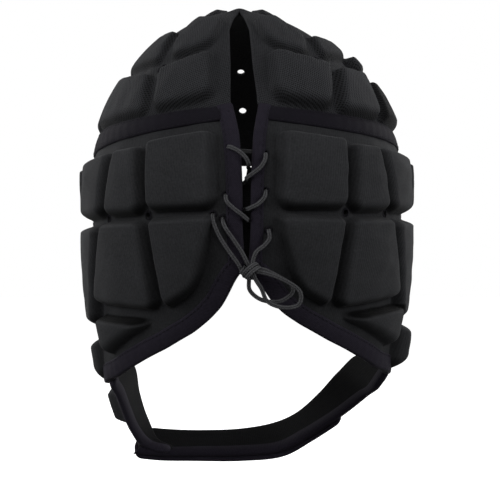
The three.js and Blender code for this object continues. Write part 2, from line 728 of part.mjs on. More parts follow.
// Lace route: millimetres across from the slit line, degrees down, millimetres out from the inner surface
const LACE_RUN = [
  [2.8, 115.4, 8.2], [4.8, 112.6, 7.4], [8.6, 111.2, 6.6], [11, 109.4, 6.4], [11, 107.5, 4.6], [11, 107.3, 1.5],
  [10.8, 107.1, -2.2], [7, 105.8, -3.4], [2.2, 104.9, -3.4], [0.4, 104.4, -1.6], [0.2, 104, 1.5], [-0.4, 103.4, 5.2],
  [-4, 101, 6.2], [-8.6, 97.8, 5.9], [-10.3, 96.6, 4.2], [-10.4, 96.4, 1.5], [-10.2, 96.2, -2.2],
  [-6.4, 94.6, -3.4], [-1.8, 93, -3.4], [-0.4, 92.2, -1.4], [-0.2, 91.6, 1.5], [0.4, 90.9, 5.2],
  [4, 87.6, 6.2], [8, 83.6, 6], [9.3, 82.3, 4.2], [9.4, 82.1, 1.5], [9.1, 81.9, -2.2], [5.4, 80.8, -3.4],
  [0, 80.3, -3.6], [-5.4, 80.2, -3.4], [-9.2, 80.1, -2.2], [-9.4, 80, 1.5], [-9.2, 80.2, 4.2], [-7.6, 81.4, 5.9],
  [-3, 84, 6.2], [0, 85.8, 5.2], [0.4, 86.4, 1.5], [0.8, 86.8, -1.6], [2.4, 87.6, -3.4], [6.2, 91.6, -3.4],
  [9.2, 95, -2.2], [9.4, 95.2, 1.5], [9.2, 95.5, 4.2], [7.4, 96.8, 5.9], [3, 99, 6.2], [0.3, 100.4, 5.2],
  [0, 100.8, 1.5], [-0.4, 101, -1.6], [-2.2, 101.6, -3.4], [-7.4, 102.9, -3.4], [-11.7, 103.5, -2.2],
  [-12, 103.6, 1.5], [-11.8, 103.9, 4.4], [-10.2, 105.4, 6], [-6, 109.6, 6.2], [-0.8, 116, 7.8],
];
const LACE_TAIL = [
  [-17, 102.3, -1.5], [-17, 102.4, 1.5], [-16.6, 102.9, 4.6], [-14.6, 105.2, 6.2], [-10, 110.2, 6.2],
  [-5.4, 114.8, 7], [-2, 117.9, 7.8],
];

function lacePoint([across, down, lift]) {
  return lifted(roundFor(across, down), down, lift);
}

// Free loops below the knot, in millimetres
const LOOP_INNER = [
  [6.95, -97.1, -145.9], [16, -96, -149.6], [23.4, -94.5, -154.6], [24.2, -94, -158], [17.3, -93.5, -163],
  [7.4, -93.8, -162], [1.6, -95, -157], [1.2, -95.8, -152], [1.6, -96.9, -148.3],
];
const LOOP_OUTER = [
  [5.5, -99.4, -147.4], [17, -100, -150.5], [28, -98, -158], [27.4, -97, -164.4], [20, -97, -166.2],
  [11, -97.6, -163], [7.6, -98.8, -156], [5, -99.6, -152], [3.4, -99.1, -148.2],
];

function laceGeometry(points) {
  const route = new THREE.CatmullRomCurve3(points, false, "centripetal");
  const ring = [];
  for (let k = 0; k < LACE_SIDES; k += 1) {
    const angle = (2 * Math.PI * k) / LACE_SIDES;
    ring.push(new THREE.Vector2(Math.cos(angle), Math.sin(angle)).multiplyScalar(LACE_DIAMETER / 2));
  }
  const steps = Math.ceil(points.length * LACE_STEPS_PER_POINT);
  const tube = new THREE.ExtrudeGeometry(new THREE.Shape(ring), { steps, extrudePath: route });
  return faceOutward(welded(tube));
}

addPiece("lace_run", laceGeometry(LACE_RUN.map(lacePoint)), FINISHES.lace);
addPiece("lace_tail", laceGeometry(LACE_TAIL.map(lacePoint)), FINISHES.lace);
addPiece("lace_loop_inner", laceGeometry(LOOP_INNER.map((p) => new THREE.Vector3(...p))), FINISHES.lace);
addPiece("lace_loop_outer", laceGeometry(LOOP_OUTER.map((p) => new THREE.Vector3(...p))), FINISHES.lace);

// Knot: one closed lump where the strands meet
const KNOT_PLACE = [2.6, 117.6, 7.9];
const KNOT_RADII = [4.2, 3.2, 3.4];
const KNOT_SIDES = 10;
const KNOT_RINGS = 6;
const knot = new THREE.SphereGeometry(1, KNOT_SIDES, KNOT_RINGS);
knot.scale(...KNOT_RADII);
const knotCentre = lacePoint(KNOT_PLACE);
knot.translate(knotCentre.x, knotCentre.y, knotCentre.z);
addPiece("lace_knot", faceOutward(welded(knot)), FINISHES.lace);

export default headgear;
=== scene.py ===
# %% [markdown]
# # Padded headgear, dressed over its solids
# The real thing is a soft cap: a mesh crown and two knit flaps over moulded foam blocks, tapes over the
# seams and edges, a round lace through sewn holes and a closed chin strap.
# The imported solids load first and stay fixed. Every piece below is worked out in their frame, in
# millimetres, and is turned into metres only when its mesh is made.

# %% Load the solids
import math

import bpy
import numpy as np
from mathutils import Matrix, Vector


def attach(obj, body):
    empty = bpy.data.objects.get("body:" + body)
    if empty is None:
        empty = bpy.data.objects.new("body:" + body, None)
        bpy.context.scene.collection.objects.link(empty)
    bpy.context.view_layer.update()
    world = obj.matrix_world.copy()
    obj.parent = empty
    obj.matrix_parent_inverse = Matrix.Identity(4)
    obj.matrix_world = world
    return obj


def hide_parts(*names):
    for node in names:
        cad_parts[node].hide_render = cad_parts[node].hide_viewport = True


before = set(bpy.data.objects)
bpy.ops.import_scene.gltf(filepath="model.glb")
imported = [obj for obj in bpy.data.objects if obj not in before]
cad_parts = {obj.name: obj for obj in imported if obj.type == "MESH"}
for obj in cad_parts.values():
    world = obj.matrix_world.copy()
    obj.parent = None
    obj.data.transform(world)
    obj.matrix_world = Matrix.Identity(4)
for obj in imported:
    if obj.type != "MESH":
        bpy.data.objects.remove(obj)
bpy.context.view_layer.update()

MM = 0.001
BODY = "root"
SIDES = (("left", -1), ("right", 1))
TURN = 2 * math.pi
scene = bpy.context.scene


def scene_object(name, data):
    """A new object in the scene for this mesh, camera or light."""
    made = bpy.data.objects.new(name, data)
    scene.collection.objects.link(made)
    return made


# %% [markdown]
# ## Camera
# The photograph looks level at the back of the cap from about a metre. The lens follows from the focal
# length in pixels on a picture 500 pixels wide, and the eye stands a hair to the right of the middle.

# %% Camera
EYE_MM = (1.74, -1000, -136)
FOCAL_PIXELS = 1724
PICTURE_PIXELS = 500
SENSOR_MM = 36

camera_data = bpy.data.cameras.new("photo_camera")
camera_data.sensor_width = SENSOR_MM
camera_data.lens = SENSOR_MM * FOCAL_PIXELS / PICTURE_PIXELS
camera = scene_object("photo_camera", camera_data)
camera.location = Vector(EYE_MM) * MM
camera.rotation_euler = (math.radians(90), 0, 0)
scene.camera = camera
print("camera lens", round(camera_data.lens, 1), "mm")

# %% [markdown]
# ## Head form
# All cloth follows one smooth form, the same one that the solids use. A place on it is two angles: turn,
# in degrees from the back and positive to the right, and down, in degrees from the top and carried on
# below the widest ring at the same length for each degree. Working in these two angles lets every panel,
# tape and lace find the surface by formula instead of by projection.

# %% Head form
DOME_HEIGHT = 96
SIDE_RADIUS = 86
BACK_RADIUS = 97
DOME_POWER = 2 / 1.77
WALL_SPAN = 110
SIDE_DRAW_IN = 7
BACK_DRAW_IN = 40
CROWN_LEAN = -4.5
RIGHT_RISE = 2.4
RISE_STARTS = 62
RISE_FULL = 80
EQUATOR = 90
TINY = 1e-6
DOWN_STEP = DOME_HEIGHT * math.pi / 180
NORMAL_NUDGE = 0.2


def side_at(down):
    """Half width of the form at this many degrees down, in millimetres."""
    angle = np.radians(np.minimum(down, EQUATOR))
    share = np.maximum(down - EQUATOR, 0) * DOWN_STEP / WALL_SPAN
    return SIDE_RADIUS * np.sin(angle) ** DOME_POWER - SIDE_DRAW_IN * share**2


def eased(value, start, end):
    share = np.clip((value - start) / (end - start), 0, 1)
    return share * share * (3 - 2 * share)


def surface(turn, down):
    """Points on the inner surface of the cap, with the right flap pulled up towards the side."""
    turn, down = np.broadcast_arrays(np.asarray(turn, float), np.asarray(down, float))
    angle = np.radians(turn)
    down = down - RIGHT_RISE * np.maximum(np.sin(angle), 0) ** 2 * eased(down, RISE_STARTS, RISE_FULL)
    dome_angle = np.radians(np.minimum(down, EQUATOR))
    spread = np.sin(dome_angle) ** DOME_POWER
    height = np.clip(np.cos(dome_angle), 0, 1) ** DOME_POWER
    drop = np.maximum(down - EQUATOR, 0) * DOWN_STEP
    draw = (drop / WALL_SPAN) ** 2
    depth = BACK_RADIUS * spread - np.where(np.cos(angle) >= 0, BACK_DRAW_IN * draw, 0)
    x = (SIDE_RADIUS * spread - SIDE_DRAW_IN * draw) * np.sin(angle) + CROWN_LEAN * height**2
    z = DOME_HEIGHT * (height - 1) - drop
    return np.stack([x, -depth * np.cos(angle), z], axis=-1)


def unit(vectors):
    return vectors / np.maximum(np.linalg.norm(vectors, axis=-1, keepdims=True), TINY)


def outward(turn, down):
    low = np.maximum(down, 2 * NORMAL_NUDGE)
    across = surface(turn + NORMAL_NUDGE, low) - surface(turn - NORMAL_NUDGE, low)
    along = surface(turn, low + NORMAL_NUDGE) - surface(turn, low - NORMAL_NUDGE)
    return unit(np.cross(along, across))


def lifted(turn, down, lift):
    """Points this many millimetres out from the inner surface."""
    return surface(turn, down) + outward(turn, down) * np.asarray(lift)[..., None]


def turn_for(across, down):
    """Degrees round that put a point this many millimetres across from the back centre line."""
    return np.degrees(np.arcsin(across / side_at(down)))


def turn_step(turn, down):
    """Millimetres in one degree round at a place on the surface."""
    return np.linalg.norm(surface(turn + 0.5, down) - surface(turn - 0.5, down), axis=-1)


print("form top", surface(0, 0).round(2), "widest ring half width", float(side_at(EQUATOR)))

# %% [markdown]
# ## Edges of the panels
# Short tables give each edge: the slit in the crown, the slit between the flaps, the nape line, the
# flaps' front edges and the sloping seam between crown and flaps. They repeat the values of the solids'
# source. A row holds degrees down and millimetres across for a slit, degrees round and down for the nape,
# and degrees down and round for a front edge.

# %% Edges of the panels
SLIT_TOP = 12.15
CROWN_SLIT = {
    "left": np.array([[SLIT_TOP, 0], [18, 3.4], [31, 7.2], [50, 7.8], [62, 8.6], [70, 8.2]]),
    "right": np.array([[SLIT_TOP, 0], [18, 2.6], [31, 5.2], [50, 5.6], [62, 7], [70, 7.2]]),
}
FLAP_SLIT = np.array([[66, 6.4], [70, 4.9], [76, 3.3], [86, 2.4], [96, 1.9], [108, 1.8], [119, 0.6],
                      [130, 0.6]])
NAPE_EDGE = {
    "left": np.array([[0, 118.8], [3, 120.2], [5, 123.2], [7, 126.8], [9.5, 130.8], [14, 134.9], [20, 139],
                      [32, 144.6], [47, 150.1], [62, 155.1], [80, 158], [86, 159], [104, 158.6]]),
    "right": np.array([[0, 118.8], [3, 120.2], [6, 124.6], [10, 129.8], [14, 133.2], [20, 136.7], [32, 142.5],
                       [47, 148.6], [62, 154.2], [80, 157.4], [86, 158.2], [104, 157.6]]),
}
FLAP_FRONT = np.array([[79, 120], [100, 116], [125, 112], [150, 103], [160, 101]])
BAND_START = 67.5
BAND_SLOPE = 0.1
TEMPLE = 120
SEAM_HALF_GAP = 0.2
TAPE_ALLOWANCE = 1.45
FIT_PASSES = 10


def read(table, position):
    return np.interp(position, table[:, 0], table[:, 1])


def wrapped(turn):
    """The same direction, between -180 and 180 degrees."""
    return (np.asarray(turn, float) + 180) % 360 - 180


def band_down(turn):
    return BAND_START + BAND_SLOPE * np.minimum(np.abs(wrapped(turn)), TEMPLE)


def flap_slit_turn(down):
    return turn_for(read(FLAP_SLIT, down) + TAPE_ALLOWANCE, down)


def flap_place(side, across_share, down_share):
    """Turn and down of a place on a flap, from its slit to its front and from its seam to its nape."""
    across_share, down_share = np.broadcast_arrays(across_share, down_share)
    turn = across_share * TEMPLE
    down = np.full(turn.shape, float(EQUATOR))
    for _ in range(FIT_PASSES):
        top = band_down(turn) + SEAM_HALF_GAP
        down = top + (read(NAPE_EDGE[side], turn) - top) * down_share
        slit = flap_slit_turn(down)
        turn = slit + (read(FLAP_FRONT, down) - slit) * across_share
    return turn, down


def crown_slit_turn(side, down):
    """Degrees round to the crown's slit edge, none above the slit's top."""
    return np.where(down <= SLIT_TOP, 0, turn_for(read(CROWN_SLIT[side], down), np.maximum(down, 1)))


def crown_place(down_share, column_share):
    """Turn and down of a place on the crown, from its top to its seam and once round from slit to slit."""
    down = down_share * (band_down(360 * column_share) - SEAM_HALF_GAP)
    start = crown_slit_turn("right", down)
    end = crown_slit_turn("left", down)
    return start + (360 - start - end) * column_share, down


print("flap foot corner", [round(float(v), 1) for v in flap_place("left", np.array(0.0), np.array(1.0))])

# %% [markdown]
# ## Making a mesh
# Each piece is one object at the origin with its place in its mesh. Cloth patterns need a map in
# millimetres along the cloth, so every builder hands over a UV for each face corner. A closed skin that
# encloses a negative volume is inside out, and is turned round.

# %% Making a mesh
SHARP_DEGREES = 80
SHORTEST_SPAN = 1e-4
DENSE_STOPS = 24


def enclosed_volume(mesh):
    mesh.calc_loop_triangles()
    corners = np.empty(len(mesh.loop_triangles) * 3, np.int32)
    mesh.loop_triangles.foreach_get("vertices", corners)
    points = np.empty(len(mesh.vertices) * 3)
    mesh.vertices.foreach_get("co", points)
    a, b, c = points.reshape(-1, 3)[corners].reshape(-1, 3, 3).transpose(1, 0, 2)
    return float(np.sum(a * np.cross(b, c)) / 6)


def new_piece(name, points_mm, faces, materials, face_materials=None, corner_uv=None,
              sharp_degrees=SHARP_DEGREES):
    mesh = bpy.data.meshes.new(name)
    mesh.from_pydata((np.asarray(points_mm) * MM).tolist(), [], faces)
    for material in materials:
        mesh.materials.append(material)
    if face_materials is not None:
        mesh.polygons.foreach_set("material_index", np.asarray(face_materials, np.int32))
    if corner_uv is not None:
        layer = mesh.uv_layers.new(name="cloth_mm")
        layer.data.foreach_set("uv", np.asarray(corner_uv, np.float32).ravel())
    mesh.polygons.foreach_set("use_smooth", np.ones(len(mesh.polygons), bool))
    if enclosed_volume(mesh) < 0:
        mesh.flip_normals()
    mesh.update()
    mesh.set_sharp_from_angle(angle=math.radians(sharp_degrees))
    return scene_object(name, mesh)


def swept(name, rings, materials, uv_across, uv_along, ring_materials=None):
    """A closed skin over rings of points that follow each other, with flat ends."""
    rings = np.asarray(rings)
    count, sides = rings.shape[:2]
    faces = []
    uv = []
    face_materials = []
    for i in range(count - 1):
        for k in range(sides):
            after = (k + 1) % sides
            faces.append([i * sides + k, i * sides + after, (i + 1) * sides + after, (i + 1) * sides + k])
            face_materials.append(0 if ring_materials is None else ring_materials[k])
            left, right = uv_across[k], uv_across[k + 1]
            near, far = uv_along[i], uv_along[i + 1]
            uv += [(near, left), (near, right), (far, right), (far, left)]
    for ring, order in ((0, range(sides - 1, -1, -1)), (count - 1, range(sides))):
        faces.append([ring * sides + k for k in order])
        face_materials.append(0)
        uv += [(uv_along[ring], uv_across[k]) for k in order]
    return new_piece(name, rings.reshape(-1, 3), faces, materials, face_materials, uv)


def lengths_along(points):
    steps = np.linalg.norm(np.diff(points, axis=0), axis=1)
    return np.concatenate([[0], np.cumsum(steps)])


def around(ring):
    """Millimetres round a ring of points, back to its first point."""
    return lengths_along(np.vstack([ring, ring[:1]]))


def smooth_curve(points, per_span):
    """A centripetal Catmull-Rom curve through the points."""
    points = np.asarray(points, float)
    padded = np.vstack([2 * points[0] - points[1], points, 2 * points[-1] - points[-2]])
    found = []
    for i in range(len(points) - 1):
        p0, p1, p2, p3 = padded[i:i + 4]
        t1 = max(np.linalg.norm(p1 - p0), SHORTEST_SPAN) ** 0.5
        t2 = t1 + max(np.linalg.norm(p2 - p1), SHORTEST_SPAN) ** 0.5
        t3 = t2 + max(np.linalg.norm(p3 - p2), SHORTEST_SPAN) ** 0.5
        t = np.linspace(t1, t2, per_span, endpoint=False)[:, None]
        a1 = (t1 - t) / t1 * p0 + t / t1 * p1
        a2 = (t2 - t) / (t2 - t1) * p1 + (t - t1) / (t2 - t1) * p2
        a3 = (t3 - t) / (t3 - t2) * p2 + (t - t2) / (t3 - t2) * p3
        b1 = (t2 - t) / t2 * a1 + t / t2 * a2
        b2 = (t3 - t) / (t3 - t1) * a2 + (t - t1) / (t3 - t1) * a3
        found.append((t2 - t) / (t2 - t1) * b1 + (t - t1) / (t2 - t1) * b2)
    return np.vstack([*found, points[-1:]])


def even_curve(points, step):
    """A smooth curve through the points with points an even step apart."""
    dense = smooth_curve(points, DENSE_STOPS)
    along = lengths_along(dense)
    stops = np.linspace(0, along[-1], int(round(along[-1] / step)) + 1)
    return np.stack([np.interp(stops, along, dense[:, axis]) for axis in range(3)], axis=-1)


def point_attribute(piece, name, values):
    attribute = piece.data.attributes.new(name, "FLOAT", "POINT")
    attribute.data.foreach_set("value", np.asarray(values, np.float32))


def finish_piece(piece, slot, *nodes):
    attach(piece, BODY)
    if nodes:
        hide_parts(*nodes)
    print(piece.name, len(piece.data.polygons), "faces, stands for", len(nodes), "solids")


print("mesh helpers ready")

# %% [markdown]
# ## Cloth effects shared by the materials
# Knit, mesh, twill and braid are all small height patterns over the cloth's own map. Each is a node group
# that puts out a height, so a material only chooses its pitch. One more group varies a colour slowly over
# the cloth, with fine flecks. It lightens the colour where the edge_rub attribute marks a rubbed block
# edge, and paints shade: it darkens the colour where a second attribute marks the foot, flanks and
# underside of a block, the low cloth between blocks and the lace's valley and edges.

# %% Node helpers
KNIT_COURSE = 0.35
MESH_OPENNESS = 1.4
TWILL_THREAD = 0.2
TWILL_DEPTH = 0.4


def link_or_set(tree, socket, value):
    if hasattr(value, "is_linked"):
        tree.links.new(value, socket)
    else:
        socket.default_value = value


def connect(tree, node, **inputs):
    """Links or sets these inputs of a node. An underscore in an input's name stands for a space."""
    for label, value in inputs.items():
        link_or_set(tree, node.inputs[label.replace("_", " ")], value)
    return node


def make(tree, kind, **inputs):
    return connect(tree, tree.nodes.new(kind), **inputs)


def make_group(tree, group, **inputs):
    made = tree.nodes.new("ShaderNodeGroup")
    made.node_tree = group
    return connect(tree, made, **inputs)


def calc(tree, operation, *values):
    made = tree.nodes.new("ShaderNodeMath")
    made.operation = operation
    for socket, value in zip(made.inputs, values):
        link_or_set(tree, socket, value)
    return made.outputs[0]


def wave(tree, value, cycles=1.0):
    return calc(tree, "SINE", calc(tree, "MULTIPLY", value, TURN * cycles))


def new_group(name, inputs, outputs, kind="ShaderNodeTree"):
    """A node group with its inputs, each a label, a kind and a value, and its outputs."""
    tree = bpy.data.node_groups.new(name, kind)
    for label, socket_type, value in inputs:
        socket = tree.interface.new_socket(label, in_out="INPUT", socket_type=socket_type)
        if value is not None:
            socket.default_value = value
    for label, socket_type in outputs:
        tree.interface.new_socket(label, in_out="OUTPUT", socket_type=socket_type)
    return tree, tree.nodes.new("NodeGroupInput").outputs, tree.nodes.new("NodeGroupOutput").inputs


def pattern_group(name, height_from):
    """A group from a cloth map and two pitches in millimetres to a height between 0 and 1."""
    inputs = [("Map", "NodeSocketVector", None), ("Pitch Along", "NodeSocketFloat", 1.0),
              ("Pitch Across", "NodeSocketFloat", 1.0)]
    tree, entry, leave = new_group(name, inputs, [("Height", "NodeSocketFloat")])
    split = make(tree, "ShaderNodeSeparateXYZ", Vector=entry["Map"])
    along = calc(tree, "DIVIDE", split.outputs[0], entry["Pitch Along"])
    across = calc(tree, "DIVIDE", split.outputs[1], entry["Pitch Across"])
    tree.links.new(height_from(tree, along, across), leave["Height"])
    return tree


def crossing_waves(tree, along, across):
    """Two slanting waves that cross each other, between -1 and 1."""
    return [wave(tree, calc(tree, operation, along, across), 0.5) for operation in ("ADD", "SUBTRACT")]


def knit_height(tree, along, across):
    column = calc(tree, "ABSOLUTE", wave(tree, along, 0.5))
    slant = calc(tree, "PINGPONG", along, 0.5)
    course = wave(tree, calc(tree, "ADD", across, slant))
    return calc(tree, "MULTIPLY", column, calc(tree, "MULTIPLY_ADD", course, KNIT_COURSE, 1 - KNIT_COURSE))


def mesh_height(tree, along, across):
    hole = calc(tree, "ABSOLUTE", calc(tree, "MULTIPLY", *crossing_waves(tree, along, across)))
    return calc(tree, "SUBTRACT", 1.0, calc(tree, "POWER", hole, MESH_OPENNESS))


def twill_height(tree, along, across):
    rib = wave(tree, calc(tree, "ADD", along, across))
    thread = wave(tree, calc(tree, "SUBTRACT", along, calc(tree, "MULTIPLY", across, 0.5)), 2.0)
    ribbed = calc(tree, "MULTIPLY_ADD", thread, TWILL_THREAD, rib)
    return calc(tree, "MULTIPLY_ADD", ribbed, TWILL_DEPTH, 0.5)


def braid_height(tree, along, across):
    strands = [calc(tree, "ABSOLUTE", strand) for strand in crossing_waves(tree, along, across)]
    return calc(tree, "MAXIMUM", *strands)


knit_group = pattern_group("knit_columns", knit_height)
mesh_group = pattern_group("mesh_openings", mesh_height)
twill_group = pattern_group("twill_ribs", twill_height)
braid_group = pattern_group("braid_strands", braid_height)
print("pattern groups:", [group.name for group in bpy.data.node_groups])

# %% Slow change of colour, rub on raised edges and painted shade
BROAD_SCALE = 28
FLECK_SCALE = 900
SHARE_OF = {"broad": 0.35, "fleck": 0.85, "weave": 1.0, "rub": 0.14}
SHADE_OFFSET = -0.1
# Painted shade: the share of the shade mark that draws a colour towards this near black.
PAINTED_SHADE_STRENGTH = 0.52
PAINTED_SHADE_COLOR = (0.0012, 0.0012, 0.0013, 1)
ROUGH_FLECK = 0.16
ROUGH_BASE = 0.74
MIX_SOCKET = {"share": 0, "first": 6, "second": 7, "result": 2}

shade_inputs = [("Place", "NodeSocketVector", None), ("Deep", "NodeSocketColor", None),
                ("Pale", "NodeSocketColor", None), ("Pattern", "NodeSocketFloat", 0.5),
                ("Rub", "NodeSocketFloat", 0.0), ("Painted Shade", "NodeSocketFloat", 0.0)]
shade_outputs = [("Color", "NodeSocketColor"), ("Roughness", "NodeSocketFloat")]
shade_group, shade_entry, shade_leave = new_group("cloth_shade", shade_inputs, shade_outputs)


def noise(scale):
    return make(shade_group, "ShaderNodeTexNoise", Scale=scale, Vector=shade_entry["Place"]).outputs[0]


def blended(**values):
    """The first colour with a share of the second."""
    mix = shade_group.nodes.new("ShaderNodeMix")
    mix.data_type = "RGBA"
    mix.clamp_factor = True
    for name, value in values.items():
        link_or_set(shade_group, mix.inputs[MIX_SOCKET[name]], value)
    return mix.outputs[MIX_SOCKET["result"]]


fleck = noise(FLECK_SCALE)
sources = {"broad": noise(BROAD_SCALE), "fleck": fleck, "weave": shade_entry["Pattern"],
           "rub": shade_entry["Rub"]}
paleness = SHADE_OFFSET
for name, share in SHARE_OF.items():
    paleness = calc(shade_group, "ADD", paleness, calc(shade_group, "MULTIPLY", sources[name], share))
dyed = blended(share=paleness, first=shade_entry["Deep"], second=shade_entry["Pale"])
# Painted shade: the colour is drawn towards near black as far as the shade mark asks.
darkness = calc(shade_group, "MULTIPLY", shade_entry["Painted Shade"], PAINTED_SHADE_STRENGTH)
marked_color = blended(share=darkness, first=dyed, second=PAINTED_SHADE_COLOR)
roughness = calc(shade_group, "MULTIPLY_ADD", fleck, ROUGH_FLECK, ROUGH_BASE)
shade_group.links.new(marked_color, shade_leave["Color"])
shade_group.links.new(roughness, shade_leave["Roughness"])
print("colour group:", shade_group.name)

# %% [markdown]
# ## Finishes
# All cloth here is black, so the differences are small and matter. The crown's mesh is a neutral charcoal
# with open diamonds, and the flaps' knit is finer and warmer. The tapes lean to violet and the seam's is
# the darkest; the tab's is a paler copy, painted light on a tape that the lamps barely reach. The
# strap's lining swallows light, the backings of the holes are near black as painted shade inside the
# holes, the cap's own lining is paler, and the lace is greyer with a silky lustre. A little sheen on the
# shader gives the soft bright rim of a brushed fabric.

# %% Finishes
SHEEN_ROUGHNESS = 0.45
MATT_SPECULAR = 0.07
LACE_SPECULAR = 0.3
BUMP_STRENGTH = 0.8
TAPE_PITCH = (1.1, 1.1)
LINING_PITCH = (1.3, 1.1)


def cloth(name, pattern, pitch, deep, pale, bump_mm, sheen, weave=0.5, marked=False, specular=MATT_SPECULAR):
    """A cloth between a deep and a pale colour, its pattern at a pitch along and across in millimetres."""
    material = bpy.data.materials.new(name)
    material.use_nodes = True
    tree = material.node_tree
    places = tree.nodes.new("ShaderNodeTexCoord").outputs
    woven = make_group(tree, pattern, Map=places["UV"], Pitch_Along=pitch[0], Pitch_Across=pitch[1])
    height = woven.outputs["Height"]
    contrast = calc(tree, "MULTIPLY_ADD", height, weave, -weave / 2)
    shade = make_group(tree, shade_group, Place=places["Object"], Deep=(*deep, 1), Pale=(*pale, 1),
                       Pattern=contrast)
    # A marked cloth reads the rubbed-edge wear and the painted shade from its mesh.
    if marked:
        for attribute, socket in (("edge_rub", "Rub"), ("painted_shade", "Painted Shade")):
            mark = tree.nodes.new("ShaderNodeAttribute")
            mark.attribute_name = attribute
            tree.links.new(mark.outputs["Fac"], shade.inputs[socket])
    bump = make(tree, "ShaderNodeBump", Distance=bump_mm * MM, Strength=BUMP_STRENGTH, Height=height)
    connect(tree, tree.nodes["Principled BSDF"], Base_Color=shade.outputs["Color"],
            Roughness=shade.outputs["Roughness"], Normal=bump.outputs["Normal"], Sheen_Weight=sheen,
            Sheen_Roughness=SHEEN_ROUGHNESS, Specular_IOR_Level=specular)
    return material


crown_cloth = cloth("crown_mesh_cloth", mesh_group, (1.6, 1.6), deep=(0.0026, 0.0026, 0.0028),
                    pale=(0.0318, 0.0322, 0.0351), bump_mm=0.4, sheen=0.03, weave=1.2, marked=True)
flap_cloth = cloth("flap_knit_cloth", knit_group, (1.3, 0.7), deep=(0.0115, 0.0116, 0.0124),
                   pale=(0.0385, 0.039, 0.0414), bump_mm=0.12, sheen=0.03, weave=0.2, marked=True)
tape_cloth = cloth("edge_tape", twill_group, TAPE_PITCH, deep=(0.009, 0.0077, 0.0116),
                   pale=(0.0246, 0.021, 0.0308), bump_mm=0.15, sheen=0.02)
# Painted light: a paler copy of the edge tape for the tab, which the lamps barely reach.
tab_tape_painted_light = cloth("tab_edge_tape", twill_group, TAPE_PITCH, deep=(0.0155, 0.0136, 0.0195),
                       pale=(0.0425, 0.0375, 0.0525), bump_mm=0.15, sheen=0.02)
seam_cloth = cloth("seam_tape", twill_group, TAPE_PITCH, deep=(0.0044, 0.0038, 0.0056),
                   pale=(0.012, 0.0104, 0.0151), bump_mm=0.15, sheen=0.01)
lining_cloth = cloth("strap_lining", knit_group, LINING_PITCH, deep=(0.0046, 0.0046, 0.0049),
                     pale=(0.0142, 0.0142, 0.0151), bump_mm=0.15, sheen=0.0)
inside_cloth = cloth("cap_lining", knit_group, LINING_PITCH, deep=(0.022, 0.022, 0.023),
                     pale=(0.068, 0.068, 0.071), bump_mm=0.15, sheen=0.0)
# Painted shade: near black for the backings, standing for the shade inside the holes.
hole_shade_cloth = cloth("hole_backing", knit_group, LINING_PITCH, deep=(0.0006, 0.0006, 0.0007),
                   pale=(0.002, 0.002, 0.0022), bump_mm=0.1, sheen=0.0)
strap_cloth = cloth("strap_brushed_cloth", knit_group, (1.2, 0.9), deep=(0.0058, 0.0057, 0.0062),
                    pale=(0.018, 0.0177, 0.0193), bump_mm=0.2, sheen=0.02)
lace_cloth = cloth("lace_braid", braid_group, (1.5, 0.25), deep=(0.012, 0.012, 0.0125),
                   pale=(0.098, 0.098, 0.103), bump_mm=0.25, sheen=0.04, marked=True, specular=LACE_SPECULAR)
thread_cloth = cloth("sewing_thread", twill_group, (0.6, 0.6), deep=(0.006, 0.0055, 0.007),
                     pale=(0.021, 0.0195, 0.0248), bump_mm=0.05, sheen=0.03)
finishes = (crown_cloth, flap_cloth, tape_cloth, tab_tape_painted_light, seam_cloth, lining_cloth, inside_cloth,
            hole_shade_cloth, strap_cloth, lace_cloth, thread_cloth)
print("finishes:", [finish.name for finish in finishes])

# %% [markdown]
# ## Lace
# A braided lace about 2 mm thick criss-crosses the slit through seven sewn holes, and is tied in a slip
# knot with two loops lying on the nape. It is one cord from end to end, with one smooth curve through all
# of its route: a list of places on the head form for the run and the tail, each as millimetres across,
# degrees down and millimetres out, and the two loops in plain coordinates.

# %% Lace route
LACE_DIAMETER = 2.1
LACE_RUN = np.array([
    [2.8, 116.6, 8.2], [4.6, 113.4, 7.4], [8.4, 111.6, 6.6], [11, 109.6, 6.4], [11, 107.5, 4.6],
    [11, 107.3, 1.5], [10.8, 107.1, -2.2], [7, 105.9, -3.4], [2.6, 105.2, -3.4], [0.8, 104.8, -1.6],
    [0.6, 104.4, 1.5], [0.2, 103.8, 5], [-2.2, 102.4, 6], [-6.4, 100.4, 6.3], [-9.6, 98.4, 6.1],
    [-10.4, 96.9, 4.4], [-10.4, 96.4, 1.5], [-10.2, 96.2, -2.2], [-6.4, 94.6, -3.4], [-1.8, 93, -3.4],
    [-0.4, 92.4, -1.4], [-0.2, 91.9, 1.5], [0, 91.4, 4.8], [3, 90, 6.2], [6.6, 87.6, 6.4],
    [8.9, 84.8, 6.2], [9.4, 82.7, 4.4], [9.4, 82.1, 1.5], [9.1, 81.9, -2.2], [5.4, 80.8, -3.4],
    [0, 80.3, -3.6], [-5.4, 80.2, -3.4], [-9.2, 80.1, -2.2], [-9.4, 80, 1.5], [-9.2, 80.1, 4.2],
    [-7.4, 80.6, 5.9], [-3.2, 82.2, 6.3], [-0.2, 84.4, 5.9], [0.9, 86, 4.6], [0.9, 86.7, 1.5],
    [1, 87.2, -1.6], [2.4, 88, -3.4], [6.2, 91.6, -3.4], [9.2, 95, -2.2], [9.4, 95.2, 1.5],
    [9.4, 95.7, 4.4], [8.6, 97.2, 6.1], [5.6, 99.1, 6.3], [2, 100.3, 5.8], [0.4, 100.8, 4.4],
    [0, 101, 1.5], [-0.4, 101.2, -1.6], [-2.2, 101.7, -3.4], [-7.4, 102.9, -3.4], [-11.7, 103.5, -2.2],
    [-12, 103.6, 1.5], [-11.9, 104.2, 4.4], [-10.6, 106, 6.1], [-6.6, 109.6, 6.3], [-2.6, 113.2, 6.8],
    [0.2, 116.4, 7.8],
])
